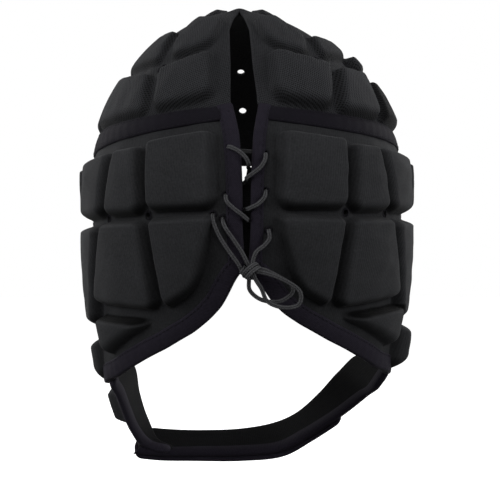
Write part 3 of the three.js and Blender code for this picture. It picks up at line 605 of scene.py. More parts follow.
LACE_TAIL = np.array([
    [-17, 102.3, -1.5], [-17, 102.4, 1.5], [-16.9, 103.1, 4.9], [-15.7, 105.2, 6.7],
    [-12.8, 109.2, 6.5], [-8.6, 113.2, 6.7], [-4, 117, 7.4], [-1.4, 119.4, 7.8],
])
LOOP_INNER = np.array([
    [6.95, -97.1, -145.9], [16, -96, -149.6], [23.4, -94.5, -154.6], [24.2, -94, -158],
    [17.3, -93.5, -163], [7.4, -93.8, -162], [1.6, -95, -157], [1.2, -95.8, -152], [1.6, -96.9, -148.3],
])
LOOP_OUTER = np.array([
    [5.5, -99.4, -147.4], [17, -100, -150.5], [28, -98, -158], [27.4, -97, -164.4], [20, -97, -166.2],
    [11, -97.6, -163], [7.6, -98.8, -156], [5, -99.6, -152], [3.4, -99.1, -148.2],
])
KNOT_PLACE = np.array([2.2, 119, 7.9])
KNOT_PASS = np.array([2.2, -1.2, -1.0])
KNOT_END = np.array([0.6, 0.6, -0.6])
LACE_STEP = 0.7


def lace_points(places):
    across, down, lift = np.asarray(places).T
    return lifted(turn_for(across, down), down, lift)


knot_middle = lace_points(KNOT_PLACE[None])[0]
route = np.vstack([lace_points(LACE_TAIL), LOOP_INNER, knot_middle + KNOT_PASS, LOOP_OUTER,
                   lace_points(LACE_RUN), knot_middle + KNOT_END])
lace_path = even_curve(route, LACE_STEP)

# %% [markdown]
# The lace's braid lies in two plump ridges side by side, which shows as a pair of bright lines. Its
# section is two overlapping circles, and the line between their centres is kept square to the way
# backward. The valley between the ridges and the lace's two outer edges get painted shade.

# %% Lace and knot
LACE_SIDES = 16
LOBE_REACH = 0.44
LOBE_RADIUS = 0.62
# Painted shade on the lace: how narrow its valley and edge lines are, and how dark.
VALLEY_POWER = 8
EDGE_POWER = 6
LACE_MARK = 1.5
BACKWARD = np.array([0.0, -1.0, 0.0])
START_SIDE = np.array([0.3, 0.2, 0.93])
KNOT_AXIS = unit(np.array([0.62, -0.25, -0.74]))
KNOT_TURNS = 2.3
KNOT_RADIUS = 4.6
KNOT_WIDEN = 1.3
KNOT_PITCH = 2.5
KNOT_STOPS = 26
KNOT_TUCK = 0.12
KNOT_TUCKED_SHARE = 0.55


def tube_rings(path, radius, sides, lobed=False):
    """Rings round a path. A lobed ring has two ridges, set square to the way backward."""
    tangents = unit(np.gradient(path, axis=0))
    normal = np.cross(tangents[0], START_SIDE)
    angles = np.arange(sides) * TURN / sides
    reach = np.ones(sides)
    if lobed:
        swell = np.sqrt(LOBE_RADIUS**2 - (LOBE_REACH * np.sin(angles)) ** 2)
        reach = LOBE_REACH * np.abs(np.cos(angles)) + swell
    rings = []
    for point, tangent in zip(path, tangents):
        normal = unit(normal - tangent * np.dot(normal, tangent))
        if lobed:
            wanted = np.cross(tangent, BACKWARD)
            wanted = wanted if np.dot(wanted, normal) >= 0 else -wanted
            share = float(np.dot(wanted, wanted)) ** 2
            normal = unit(unit(wanted) * share + normal * (1 - share))
        second = np.cross(tangent, normal)
        ring = np.cos(angles)[:, None] * normal + np.sin(angles)[:, None] * second
        rings.append(point + ring * (reach * radius)[:, None])
    return np.array(rings)


def lace_tube(name, path):
    across = np.arange(LACE_SIDES + 1) / LACE_SIDES
    rings = tube_rings(path, LACE_DIAMETER / 2, LACE_SIDES, lobed=True)
    piece = swept(name, rings, [lace_cloth], across, lengths_along(path))
    angles = np.arange(LACE_SIDES) * TURN / LACE_SIDES
    # Painted shade along the valley between the ridges and along the two outer edges.
    dark = np.maximum(np.abs(np.sin(angles)) ** VALLEY_POWER, np.abs(np.cos(angles)) ** EDGE_POWER)
    point_attribute(piece, "painted_shade", np.tile(LACE_MARK * dark, len(path)))
    return piece


lace = lace_tube("lace", lace_path)
first_side = unit(np.cross(KNOT_AXIS, [0, 0, 1.0]))
second_side = np.cross(KNOT_AXIS, first_side)
knot_angle = np.linspace(0, TURN * KNOT_TURNS, KNOT_STOPS)
from_middle = knot_angle / TURN - KNOT_TURNS / 2
knot_tucked = np.abs(from_middle) > KNOT_TURNS / 2 - KNOT_TUCK
knot_reach = KNOT_RADIUS * np.where(knot_tucked, KNOT_TUCKED_SHARE, 1)
knot_turns = (knot_middle + (from_middle * KNOT_PITCH)[:, None] * KNOT_AXIS
              + (knot_reach * np.cos(knot_angle) * KNOT_WIDEN)[:, None] * first_side
              + (knot_reach * np.sin(knot_angle))[:, None] * second_side)
knot = lace_tube("lace_knot_turns", even_curve(knot_turns, LACE_STEP))
finish_piece(lace, "lace", "lace_run", "lace_tail", "lace_loop_inner", "lace_loop_outer")
finish_piece(knot, "lace", "lace_knot")

# %% [markdown]
# ## Foam blocks under the cloth
# The blocks are moulded foam with cloth pressed over them, so crown and flaps are each one continuous
# skin that rises over every block and drops into the hollows between. A cloth solver would round such
# blocks off into cushions, so the skin is a fine grid that is lifted by formula: the distance inside each
# block's rounded outline gives a steep side, a soft shoulder and a slightly crowned top. The same
# distance marks the rubbed shoulders, and the painted shade at the foot, flanks and underside. A block's
# corners are degrees round from the back and degrees down.

# %% Foam blocks
CROWN_RING_PADS = {
    "left": {
        "rear": [[41, 51.5], [16.5, 44.8], [13, 62], [37, 66.6]],
        "rear_side": [[80, 52.5], [46.5, 53], [41, 67.3], [81, 70]],
        "side": [[112, 53], [84.5, 52.6], [85.5, 70.6], [114, 73.2]],
        "front_side": [[140, 55], [116, 54], [118.5, 74], [138, 75]],
        "forehead": [[174, 55], [144.5, 55], [142.5, 75], [174, 75]],
    },
    "right": {
        "rear": [[42.5, 50.6], [14, 45.2], [11.5, 63], [33, 66.4]],
        "rear_side": [[68, 52], [47, 51.2], [37.5, 67.2], [60.5, 69]],
        "top_ear": [[100, 50.2], [72.5, 50.2], [73.5, 44.4], [101, 44.8]],
        "side": [[100, 55], [72, 54.8], [64.5, 69.6], [98, 72.4]],
        "front_side": [[132, 55], [104, 54.6], [102.5, 73.5], [130, 75]],
        "forehead": [[174, 55], [137, 55], [135, 75], [174, 75]],
    },
}
CROWN_TOP_PADS = {
    "left": {
        "top_rear": [[44.5, 39], [39.5, 46], [19, 41.6], [15, 36], [18.5, 24.5], [48, 22]],
        "top_side": [[78, 49], [44.5, 46.8], [49.5, 39.5], [54, 31.5], [80, 33]],
        "top_ear": [[108, 48.6], [83, 48.8], [85, 34], [109, 34]],
        "top_front_side": [[137, 50], [112.5, 49.4], [113.5, 34], [136, 34]],
        "top_forehead": [[172, 50], [141.5, 50], [141, 33], [171, 33]],
    },
    "right": {
        "top_rear": [[41.5, 38], [34, 46], [16.5, 41.8], [12, 36], [14, 25], [36, 23]],
        "top_side": [[79, 43], [44, 45.2], [47, 39], [50, 35.2], [81, 36.4]],
        "top_front_side": [[132, 46], [84, 41.4], [86, 35.8], [132, 34]],
        "top_forehead": [[172, 50], [137, 50], [137, 33], [171, 33]],
    },
}
SUMMIT_PADS = {"summit": [[165, 27], [122, 27], [106, 9.5], [152, 9.5]]}
SIDE_PADS = {
    "square": [[35, 78], [12.1, 75], [11.4, 100.1], [34.5, 100.6]],
    "rear_side": [[50, 80.5], [38, 79.5], [37.3, 101.6], [55.5, 102]],
    "side": [[76, 84], [52.5, 80.8], [58.5, 102.2], [78, 102.8]],
    "temple": [[113, 87], [80.5, 85.4], [82, 102.5], [110, 103]],
    "shield": [[34.2, 104], [10.5, 102.6], [13, 113.5], [17, 124.5], [29.5, 131]],
    "lower_side": [[58, 105.1], [37, 104.4], [33, 131.5], [67.5, 130.5]],
    "ear": [[108, 107], [62.5, 106.2], [73, 138.2], [101, 138.6]],
}
TRIANGLE_PADS = {
    "left": {"triangle": [[69, 136], [38, 136.2], [65.5, 147.8]]},
    "right": {"triangle": [[75, 134.6], [38, 135.2], [70, 147.2]]},
}
CHEEK_PADS = {
    "left": {"cheek": [[98.5, 145], [81, 144.5], [83.5, 157.2], [95.5, 157.8]]},
    "right": {"cheek": [[98.5, 141.5], [77, 141.5], [79, 155.4], [96, 156]]},
}
PAD_BASE_GAP = 0.8
RING_HEIGHT = {"left": 4, "right": 6}
TOP_HEIGHT = {"left": 2.8, "right": 3.4}
SUMMIT_HEIGHT = 4
SIDE_HEIGHT = 6.6
CHEEK_HEIGHT = {"left": 6, "right": 9.6}
PAD_ROUNDING = 4.5
PAD_FOOT = 0.8
PAD_GROWTH = 0.9
PAD_SHOULDER = 4.2
CHEEK_SHOULDER = 7.5
PAD_CURVE = 2.1
STEEPER_ABOVE = 0.5
STEEPER_OUTSIDE = 0.4
GENTLER = 0.2
PAD_CROWNING = 0.5
CROWNING_REACH = 14
RUB_DEPTH = 2.6
RUB_WIDTH = 0.9
# Painted shade: place and width of the dark band at a block's foot, then its strength on the flanks, under
# lower edges on the flaps and the crown, under and over the triangles, and on the low cloth between blocks.
FOOT_SHADE_DEPTH = 0.4
FOOT_SHADE_WIDTH = 1.9
FLANK_MARK = 0.55
UNDERSIDE_MARK = 1.45
CROWN_UNDERSIDE_MARK = 0.9
TRIANGLE_UNDERSIDE = -0.2
TRIANGLE_TOP_MARK = 2.4
LOW_MARK = 0.3
DOWN_NUDGE = 0.3
RIPPLE_WAVES = 6
RIPPLE_SPREAD = (0.7, 1.6)
RIPPLE_TURN_STEP = 1.5


def blocks(groups, sign):
    """Rows of sign, corners, full height, shoulder and painted shade marks for each block of these groups on
    one side.
    """
    return [(sign, corners, height + PAD_BASE_GAP, shoulder, marks)
            for pads, height, shoulder, marks in groups for corners in pads.values()]


def crown_blocks(side, sign):
    marks = (CROWN_UNDERSIDE_MARK, 0)
    groups = [(CROWN_RING_PADS[side], RING_HEIGHT[side], PAD_SHOULDER, marks),
              (CROWN_TOP_PADS[side], TOP_HEIGHT[side], PAD_SHOULDER, marks),
              (SUMMIT_PADS, SUMMIT_HEIGHT, PAD_SHOULDER, marks)]
    return blocks(groups, sign)


def flap_blocks(side, sign):
    marks = (UNDERSIDE_MARK, 0)
    groups = [(SIDE_PADS, SIDE_HEIGHT, PAD_SHOULDER, marks),
              (TRIANGLE_PADS[side], SIDE_HEIGHT, PAD_SHOULDER, (TRIANGLE_UNDERSIDE, TRIANGLE_TOP_MARK)),
              (CHEEK_PADS[side], CHEEK_HEIGHT[side], CHEEK_SHOULDER, marks)]
    return blocks(groups, sign)


def inside_depth(turn, down, corners):
    """Millimetres inside a block's rounded outline, negative outside it."""
    corners = np.asarray(corners, float)
    middle = corners.mean(axis=0)
    step = float(turn_step(middle[0], middle[1]))
    flat = (corners - middle) * [step, DOWN_STEP]
    x = (turn - middle[0]) * step
    y = (down - middle[1]) * DOWN_STEP
    after = np.roll(flat, -1, axis=0)
    if np.sum(flat[:, 0] * after[:, 1] - flat[:, 1] * after[:, 0]) < 0:
        flat = flat[::-1]
        after = np.roll(flat, -1, axis=0)
    inset = []
    for (x0, y0), (x1, y1) in zip(flat, after):
        size = math.hypot(x1 - x0, y1 - y0)
        out_x = (y1 - y0) / size
        out_y = (x0 - x1) / size
        steepness = (1 + STEEPER_ABOVE * max(-out_y, 0) + STEEPER_OUTSIDE * max(out_x, 0)
                     - GENTLER * (max(out_y, 0) + max(-out_x, 0)))
        inset.append(((x - x0) * out_x + (y - y0) * out_y) * steepness + PAD_ROUNDING)
    inset = np.array(inset)
    beyond = np.sqrt(np.sum(np.maximum(inset, 0) ** 2, axis=0))
    return PAD_ROUNDING - np.where(beyond > 0, beyond, inset.max(axis=0))


def block_relief(turn, down, rows):
    """Rise of the cloth over the blocks in millimetres, with rubbed shoulders marked, and painted shade at
    feet, flanks, undersides and low cloth.
    """
    rise = np.zeros(turn.shape)
    rubbed = np.zeros(turn.shape)
    shaded = np.zeros(turn.shape)
    covered = np.zeros(turn.shape)
    for sign, corners, height, shoulder, marks in rows:
        depth = inside_depth(sign * wrapped(turn), down, corners) + PAD_GROWTH
        climb = np.clip((depth + PAD_FOOT) / (shoulder + PAD_FOOT), 0, 1)
        bulge = PAD_CROWNING * np.clip((depth - shoulder) / CROWNING_REACH, 0, 1)
        rise = np.maximum(rise, height * (1 - (1 - climb) ** PAD_CURVE) + bulge)
        rubbed = np.maximum(rubbed, np.exp(-((depth - RUB_DEPTH) / RUB_WIDTH) ** 2))
        # Painted shade: a dark band round each block's foot, stronger where the side faces down, and over low
        # cloth.
        below = inside_depth(sign * wrapped(turn), down + DOWN_NUDGE, corners) + PAD_GROWTH
        slope = np.clip((depth - below) / (DOWN_NUDGE * DOWN_STEP), -1, 1)
        foot = np.exp(-((depth - FOOT_SHADE_DEPTH) / FOOT_SHADE_WIDTH) ** 2)
        side_mark = marks[0] * np.maximum(slope, 0) + marks[1] * np.maximum(-slope, 0)
        shaded = np.maximum(shaded, foot * (FLANK_MARK + side_mark))
        covered = np.maximum(covered, eased(depth, 0, shoulder))
    return rise, rubbed, np.maximum(shaded, LOW_MARK * (1 - covered))


def ripple(turn, down, size_mm, seed):
    """A smooth uneven wave over the cloth, the same at every run, between about -1 and 1."""
    draws = np.random.default_rng(seed)
    total = np.zeros(turn.shape)
    for _ in range(RIPPLE_WAVES):
        heading = draws.uniform(0, TURN)
        pitch = size_mm * draws.uniform(*RIPPLE_SPREAD)
        phase = draws.uniform(0, TURN)
        across = wrapped(turn) * RIPPLE_TURN_STEP * math.cos(heading)
        way = across + down * DOWN_STEP * math.sin(heading)
        total += np.sin(way * TURN / pitch + phase)
    return total / (RIPPLE_WAVES / 2)


print("blocks on each side:", len(crown_blocks("left", -1)), "on the crown and", len(flap_blocks("left", -1)))

# %% [markdown]
# ## Skins of crown and flaps
# A skin is a grid of places with an outer face, an inner face and a rim. Punched holes are cut in the
# grid itself: cells inside a hole go, and the points round it move onto the circle, so the hole has a
# clean wall through the foam.

# %% Skin builder
def round_corners(marks):
    """Marks of grid points that touch a marked cell."""
    touched = np.zeros((marks.shape[0] + 1, marks.shape[1] + 1), bool)
    for rows in (slice(None, -1), slice(1, None)):
        for columns in (slice(None, -1), slice(1, None)):
            touched[rows, columns] |= marks
    return touched


def cut_holes(turn, down, holes):
    """Moves grid points onto the holes' rims, and marks the cells that stay."""
    keep = np.ones((turn.shape[0] - 1, turn.shape[1] - 1), bool)
    for hole_turn, hole_down, radius in holes:
        step = float(turn_step(hole_turn, hole_down))
        x = wrapped(turn - hole_turn) * step
        y = (down - hole_down) * DOWN_STEP
        distance = np.hypot(x, y)
        cell = (distance[:-1, :-1] + distance[1:, :-1] + distance[:-1, 1:] + distance[1:, 1:]) / 4
        gone = cell < radius
        keep &= ~gone
        rim = round_corners(gone) & round_corners(~gone)
        scale = radius / np.maximum(distance[rim], TINY)
        turn[rim] = turn[rim] + x[rim] * (scale - 1) / step
        down[rim] = down[rim] + y[rim] * (scale - 1) / DOWN_STEP
    return keep


def skin(name, turn, down, lift, keep, numbers, cloth_map, materials, marks):
    """One closed skin: outer cloth, inner lining and the rim between them."""
    count = int(numbers.max()) + 1
    used = np.zeros(count, int)
    used[numbers.ravel()] = np.arange(numbers.size)
    outer = lifted(turn, down, lift).reshape(-1, 3)[used]
    inner = lifted(turn, down, np.zeros(turn.shape)).reshape(-1, 3)[used]
    rows, columns = np.nonzero(keep)
    corner_rows = np.stack([rows, rows, rows + 1, rows + 1], axis=-1)
    corner_columns = np.stack([columns, columns + 1, columns + 1, columns], axis=-1)
    quads = numbers[corner_rows, corner_columns]
    quad_uv = cloth_map(corner_rows, corner_columns)
    faces = []
    uv = []
    lining = []
    lining_uv = []
    for quad, corners in zip(quads.tolist(), quad_uv.tolist()):
        if quad[0] == quad[1]:
            quad = quad[1:]
            corners = corners[1:]
        faces.append(quad)
        uv += corners
        lining.append([corner + count for corner in quad[::-1]])
        lining_uv += corners[::-1]
    starts = np.concatenate(faces)
    ends = np.concatenate([face[1:] + face[:1] for face in faces])
    open_edge = ~np.isin(starts * count + ends, ends * count + starts)
    open_pairs = zip(starts[open_edge].tolist(), ends[open_edge].tolist())
    walls = [[b, a, a + count, b + count] for a, b in open_pairs]
    wall_uv = [(0.0, 0.0), (1.0, 0.0), (1.0, 2.0), (0.0, 2.0)] * len(walls)
    face_materials = [0] * len(faces) + [1] * len(lining) + [0] * len(walls)
    piece = new_piece(name, np.vstack([outer, inner]), faces + lining + walls, materials, face_materials,
                      uv + lining_uv + wall_uv)
    for mark, values in marks.items():
        point_attribute(piece, mark, np.concatenate([values.ravel()[used], np.zeros(count)]))
    return piece


print("skin builder ready")

# %% [markdown]
# The mesh cloth's map on the dome is laid out flat from a point on each side, as a sphere is unrolled
# round a pole, so its diamonds keep their size over the blocks at the back and meet in a line at the
# middle. One block on the right has a painted shadow on its rear flank, the crown rises to a small peak
# over the slit's top, and two vents at the front show through the slit.

# %% Crown skin
CROWN_WALL = 2.0
CROWN_ROWS = 110
CROWN_COLUMNS = 440
VENT_RADIUS = 1.6
CROWN_VENT_RADIUS = 2.1
FRONT_VENT_RADIUS = 2.3
CROWN_VENTS = [(-43.6, 49.9), (-81.7, 50.7), (-141, 52.5), (41.9, 46.6), (71.6, 46.6), (134.5, 52.5)]
FRONT_VENTS = [(-178.4, 41.6), (-178.6, 58)]
MAP_POLE = (58, 52)
MAP_RADIUS = 92
# Painted shadow on the rear flank of one right block: its strength, its edge and the turns over which it
# fades.
FLANK_SHADOW_MARK = 1.7
FLANK_SHADOW_EDGE = (-2.5, 0.5)
FLANK_SHADOW_TURNS = (72, 88)
CROWN_RIPPLE = 0.18
CROWN_RIPPLE_SIZE = 16
CROWN_RIPPLE_SEED = 3
RIPPLE_FADE = (14, 46)
PEAK_HEIGHT = 2.2
PEAK_WIDTH = 5
PEAK_LENGTH = 4.5


def direction(turn, down):
    turn, down = np.radians(turn), np.radians(down)
    return np.stack([np.sin(down) * np.sin(turn), -np.sin(down) * np.cos(turn), np.cos(down)], axis=-1)


def flat_map(turn, down, sign):
    """The dome unrolled round a pole on one side, in millimetres."""
    pole = direction(np.array(sign * MAP_POLE[0]), np.array(MAP_POLE[1]))
    east = unit(np.cross([0, 0, 1.0], pole))
    north = np.cross(pole, east)
    place = direction(turn, down)
    angle = np.arccos(np.clip(place @ pole, -1, 1))
    flat = np.stack([place @ east, place @ north], axis=-1)
    return unit(flat) * (angle * MAP_RADIUS)[..., None]


row_share = np.linspace(0, 1, CROWN_ROWS)[:, None]
column_share = np.linspace(0, 1, CROWN_COLUMNS + 1)[None, :]
crown_turn, crown_down = crown_place(row_share, column_share)
crown_holes = [(turn, down, CROWN_VENT_RADIUS) for turn, down in CROWN_VENTS]
crown_holes += [(turn, down, FRONT_VENT_RADIUS) for turn, down in FRONT_VENTS]
crown_keep = cut_holes(crown_turn, crown_down, crown_holes)
crown_numbers = np.arange(crown_turn.size).reshape(crown_turn.shape)
closed_rows = crown_down[:, -1] <= SLIT_TOP
crown_numbers[closed_rows, -1] = crown_numbers[closed_rows, 0]
crown_numbers[0, :] = crown_numbers[0, 0]
_, packed_numbers = np.unique(crown_numbers, return_inverse=True)
crown_numbers = packed_numbers.reshape(crown_numbers.shape)
crown_rows = [row for side, sign in SIDES for row in crown_blocks(side, sign)]
crown_rise, crown_rub, crown_painted_shade = block_relief(crown_turn, crown_down, crown_rows)
# Painted shadow on the rear flank of the right side block, fading out towards the side.
flank_shadow_depth = inside_depth(wrapped(crown_turn), crown_down, CROWN_RING_PADS["right"]["side"])
flank_shadow = eased(flank_shadow_depth, *FLANK_SHADOW_EDGE) * (1 - eased(wrapped(crown_turn), *FLANK_SHADOW_TURNS))
crown_painted_shade = np.maximum(crown_painted_shade, FLANK_SHADOW_MARK * flank_shadow)
peak_across = (surface(crown_turn, crown_down)[..., 0] - surface(0, crown_down)[..., 0]) / PEAK_WIDTH
peak_along = (crown_down - SLIT_TOP) * DOWN_STEP / PEAK_LENGTH
peak = PEAK_HEIGHT * np.exp(-(peak_across**2) - peak_along**2) * (np.cos(np.radians(crown_turn)) > 0)
crown_wave = ripple(crown_turn, crown_down, CROWN_RIPPLE_SIZE, CROWN_RIPPLE_SEED)
crown_wave = CROWN_RIPPLE * crown_wave * eased(crown_down, *RIPPLE_FADE)
crown_lift = CROWN_WALL + crown_rise + peak + crown_wave
crown_maps = {sign: flat_map(crown_turn, crown_down, sign) for _, sign in SIDES}


def crown_map(rows, columns):
    on_right = wrapped(crown_turn[rows, columns].mean(axis=1)) > 0
    return np.where(on_right[:, None, None], crown_maps[1][rows, columns], crown_maps[-1][rows, columns])


crown = skin("crown_skin", crown_turn, crown_down, crown_lift, crown_keep, crown_numbers, crown_map,
             [crown_cloth, inside_cloth], {"edge_rub": crown_rub, "painted_shade": crown_painted_shade})
crown_pad_names = [*CROWN_RING_PADS["left"], *CROWN_TOP_PADS["left"], *SUMMIT_PADS]
crown_pads = [f"crown_pad_{pad}_{side}" for pad in crown_pad_names for side, _ in SIDES]
finish_piece(crown, "crown_mesh", "crown", *crown_pads)

# %% Flap skins
SHELL_WALL = 3.0
SHELL_ROWS = 190
SHELL_COLUMNS = 240
FLAP_RIPPLE = 0.2
FLAP_RIPPLE_SIZE = 15
FLAP_RIPPLE_SEED = 5
EYELET_RADIUS = 1.25
SHELL_VENTS = [(36.3, 102.6), (58.5, 103.5), (80, 104.3)]
EYELETS = {
    "left": [(-9.4, 80), (-10.4, 96.4), (-12, 103.6), (-17, 102.4)],
    "right": [(9.4, 82.1), (9.4, 95.2), (11, 107.3)],
}


def eyelet_places(side):
    return [(float(turn_for(across, down)), down, EYELET_RADIUS) for across, down in EYELETS[side]]


def vent_places(sign):
    return [(sign * turn, down, VENT_RADIUS) for turn, down in SHELL_VENTS]


def make_flap(side, sign):
    columns = np.linspace(0, 1, SHELL_COLUMNS)[None, :]
    turn, down = flap_place(side, columns, np.linspace(0, 1, SHELL_ROWS)[:, None])
    turn = sign * turn
    keep = cut_holes(turn, down, eyelet_places(side) + vent_places(sign))
    if sign < 0:
        turn, down, keep = turn[:, ::-1], down[:, ::-1], keep[:, ::-1]
    rise, rubbed, shaded = block_relief(turn, down, flap_blocks(side, sign))
    lift = SHELL_WALL + rise + FLAP_RIPPLE * ripple(turn, down, FLAP_RIPPLE_SIZE, FLAP_RIPPLE_SEED + sign)
    steps = np.linalg.norm(np.diff(surface(turn, down), axis=1), axis=-1)
    u = np.concatenate([np.zeros((turn.shape[0], 1)), np.cumsum(steps, axis=1)], axis=1)
    if sign < 0:
        u = u - u[:, -1:]
    flat = np.stack([u, down * DOWN_STEP], axis=-1)
    numbers = np.arange(turn.size).reshape(turn.shape)
    return skin(f"flap_skin_{side}", turn, down, lift, keep, numbers,
                lambda rows, columns: flat[rows, columns], [flap_cloth, inside_cloth],
                {"edge_rub": rubbed, "painted_shade": shaded})


for side, sign in SIDES:
    flap = make_flap(side, sign)
    flap_pads = [f"side_pad_{pad}_{side}" for pad in [*SIDE_PADS, "triangle", "cheek"]]
    finish_piece(flap, "knit", f"side_shell_{side}", *flap_pads)

# %% [markdown]
# ## Tapes
# The panels' edges are bound with folded tape, and the seam between crown and flaps is covered by a flat
# band. One tape runs down the slit, round the nape and up the flap's front edge. It is a ring of section
# points carried along the edge, and its outer face puckers a little between the stitches, which tells
# sewn tape from a moulded rim.

# %% Folded edge tapes
TAPE = 0.95
TAPE_SEAT = 0.4
SLIT_TAPE_WIDTH = {"left": 7.0, "right": 5.2}
HEM_TAPE_WIDTH = 8.6
BROW_TAPE_WIDTH = 5.0
WIDENING = 30.0
PUCKER = 0.06
PUCKER_PITCH = 7.0
PUCKER_ABOVE = 0.6
FOLD_ANGLES = (66, 44, 22, 0, -22, -44, -66)
OUTER_CLEARANCE = 0.1
INNER_CLEARANCE = 0.15
NOSE_CLEARANCE = 0.35
# Columns: share of the width, millimetres further in, millimetres off the cloth, share of the full lift
OUTER_LEG = [(1, 0, OUTER_CLEARANCE, 0), (1, -0.1, 0.75, 0), (1, -0.6, 0, 0.82), (0.5, 0, 0, 1),
             (0, 0.5, 0, 1)]
INNER_LEG = [(0, 0.5, 0, 1), (0.5, 0, 0, 1), (1, 0, 0, 0.8), (1, 0, INNER_CLEARANCE, 0)]
EDGE_STOPS = 300
FOOT_STOPS = 500
FRONT_TOP_SHARE = 0.05
TAPE_STEP = 1.3
CORNER_PASSES = 6
SLIT_TAPE_TOP = 65.4


def step_in(turn, down, distance):
    """Places this many millimetres in from an edge, on the left hand along it."""
    step = turn_step(turn, down)
    along = unit(np.stack([np.gradient(turn) * step, np.gradient(down) * DOWN_STEP], axis=-1))
    return turn + along[:, 1] * distance / step, down - along[:, 0] * distance / DOWN_STEP


def fold_section(wall):
    """Share of the width or inset, and lift, of the points round a folded tape, from its outer leg's end."""
    far = TAPE_SEAT + TAPE
    half = wall / 2
    nose = [(0, -far * math.cos(angle), half + (half + far) * math.sin(angle))
            for angle in np.radians(FOLD_ANGLES)]
    outside = [(share, inset, wall + off + far * full) for share, inset, off, full in OUTER_LEG]
    inside = [(share, inset, -off - far * full) for share, inset, off, full in INNER_LEG]
    within = [(0, 0, -INNER_CLEARANCE), (0, -NOSE_CLEARANCE, half), (0, 0, wall + OUTER_CLEARANCE)]
    return outside + nose + inside + within


def folded_tape(name, turn, down, width, wall, side):
    along = lengths_along(lifted(turn, down, np.full(turn.shape, wall)))
    rings = []
    for share, inset, lift in fold_section(wall):
        on_outside = lift > wall + PUCKER_ABOVE
        wobble = PUCKER * np.sin(along * TURN / PUCKER_PITCH + 2 * share) * on_outside
        at_turn, at_down = step_in(turn, down, (share * width + inset) * side)
        rings.append(lifted(at_turn, at_down, lift + wobble))
    rings = np.stack(rings, axis=1)
    return swept(name, rings, [tape_cloth], around(rings[0]), along)


def resampled(turn, down, step):
    """The same edge with places an even number of millimetres apart."""
    along = lengths_along(surface(turn, down))
    stops = np.linspace(0, along[-1], int(along[-1] / step) + 1)
    return np.interp(stops, along, turn), np.interp(stops, along, down)


def rounded(turn, down):
    """The same edge with its corners softened."""
    for _ in range(CORNER_PASSES):
        turn[1:-1] = (turn[:-2] + 2 * turn[1:-1] + turn[2:]) / 4
        down[1:-1] = (down[:-2] + 2 * down[1:-1] + down[2:]) / 4
    return turn, down


def flap_edge(side):
    """The flap's edge from the seam band down the slit, along the nape and foot and up the front."""
    corner_down = float(flap_place(side, np.zeros(1), np.ones(1))[1][0])
    slit_down = np.linspace(SLIT_TAPE_TOP, corner_down, EDGE_STOPS)
    foot = flap_place(side, np.linspace(0, 1, FOOT_STOPS)[1:], np.ones(1))
    front = flap_place(side, np.ones(1), np.linspace(1, FRONT_TOP_SHARE, EDGE_STOPS)[1:])
    turn = np.concatenate([flap_slit_turn(slit_down), foot[0], front[0]])
    down = np.concatenate([slit_down, foot[1], front[1]])
    turn, down = rounded(*resampled(turn, down, TAPE_STEP))
    past_corner = lengths_along(surface(turn, down)) - (corner_down - SLIT_TAPE_TOP) * DOWN_STEP
    widening = HEM_TAPE_WIDTH - SLIT_TAPE_WIDTH[side]
    width = SLIT_TAPE_WIDTH[side] + widening * eased(past_corner, -WIDENING / 2, WIDENING / 2)
    return turn, down, width


flap_edges = {side: flap_edge(side) for side, _ in SIDES}
for side, sign in SIDES:
    turn, down, width = flap_edges[side]
    tape = folded_tape(f"edge_tape_{side}", sign * turn, down, width, SHELL_WALL, sign)
    finish_piece(tape, "tape", f"slit_binding_{side}", f"hem_binding_{side}")
brow_turn, brow_down = crown_place(np.ones(1), np.linspace(TEMPLE + 1, 359 - TEMPLE, EDGE_STOPS) / 360)
brow_turn, brow_down = resampled(brow_turn, brow_down, TAPE_STEP)
brow_width = np.full(brow_turn.shape, BROW_TAPE_WIDTH)
brow_tape = folded_tape("brow_tape", brow_turn, brow_down, brow_width, CROWN_WALL, 1)
finish_piece(brow_tape, "tape", "brow_binding")

# %% Seam bands
BAND_HALF_DOWN = 2.4
BAND_WIDENING = 0.02
BAND_SECTION = [
    (-1.03, 1.9), (-1.02, 2.9), (-0.94, 3.5), (-0.5, 4.0), (0.0, 4.2), (0.5, 4.2), (0.92, 4.1), (1.0, 3.8),
    (1.01, 2.9), (0.5, 2.8), (-0.5, 2.2)]
BAND_LINE = 3
BAND_FACE = 3.5
BAND_WOBBLE = 0.1
BAND_WOBBLE_RATE = 1.3
BAND_STOPS = 190
BAND_TUCK = 0.4


def band_half(turn):
    return BAND_HALF_DOWN + BAND_WIDENING * turn


def seam_band(name, sign):
    share = np.linspace(0, 1, BAND_STOPS)
    rings = []
    for edge, lift in BAND_SECTION:
        slit = float(flap_slit_turn(BAND_START + edge * BAND_HALF_DOWN)) + BAND_TUCK
        turn = slit + (TEMPLE - 1 - slit) * share
        down = band_down(turn) + edge * band_half(turn)
        wobble = BAND_WOBBLE * np.sin(turn * BAND_WOBBLE_RATE + 2 * edge) * (lift > BAND_FACE)
        rings.append(lifted(sign * turn, down, lift + wobble))
    rings = np.stack(rings, axis=1)
    return swept(name, rings, [seam_cloth], around(rings[0]), lengths_along(rings[:, BAND_LINE]))


for side, sign in SIDES:
    finish_piece(seam_band(f"seam_tape_{side}", sign), "tape", f"seam_band_{side}")

# %% [markdown]
# ## Rolled edge of the crown's slit, and the tongue
# Above the seam the slit has no tape: the mesh is turned under and sewn, which leaves a thin round edge
# that catches the light. It is a slim tube along the slit, closed over the slit's top. Behind the lower
# slit hangs a dark tongue of lining cloth, sewn inside the right flap, that stands clear of the lace.

# %% Rolled slit edge
ROLL_RADIUS = 0.9
ROLL_TOP_GAP = 0.3
ROLL_FOOT = 66
ROLL_STOPS = 90
ROLL_SKIP = 3
ROLL_LIFT = 1.1
ROLL_STEP = 1.2
ROLL_SIDES = 10
ROLL_MAP_STEP = 0.6

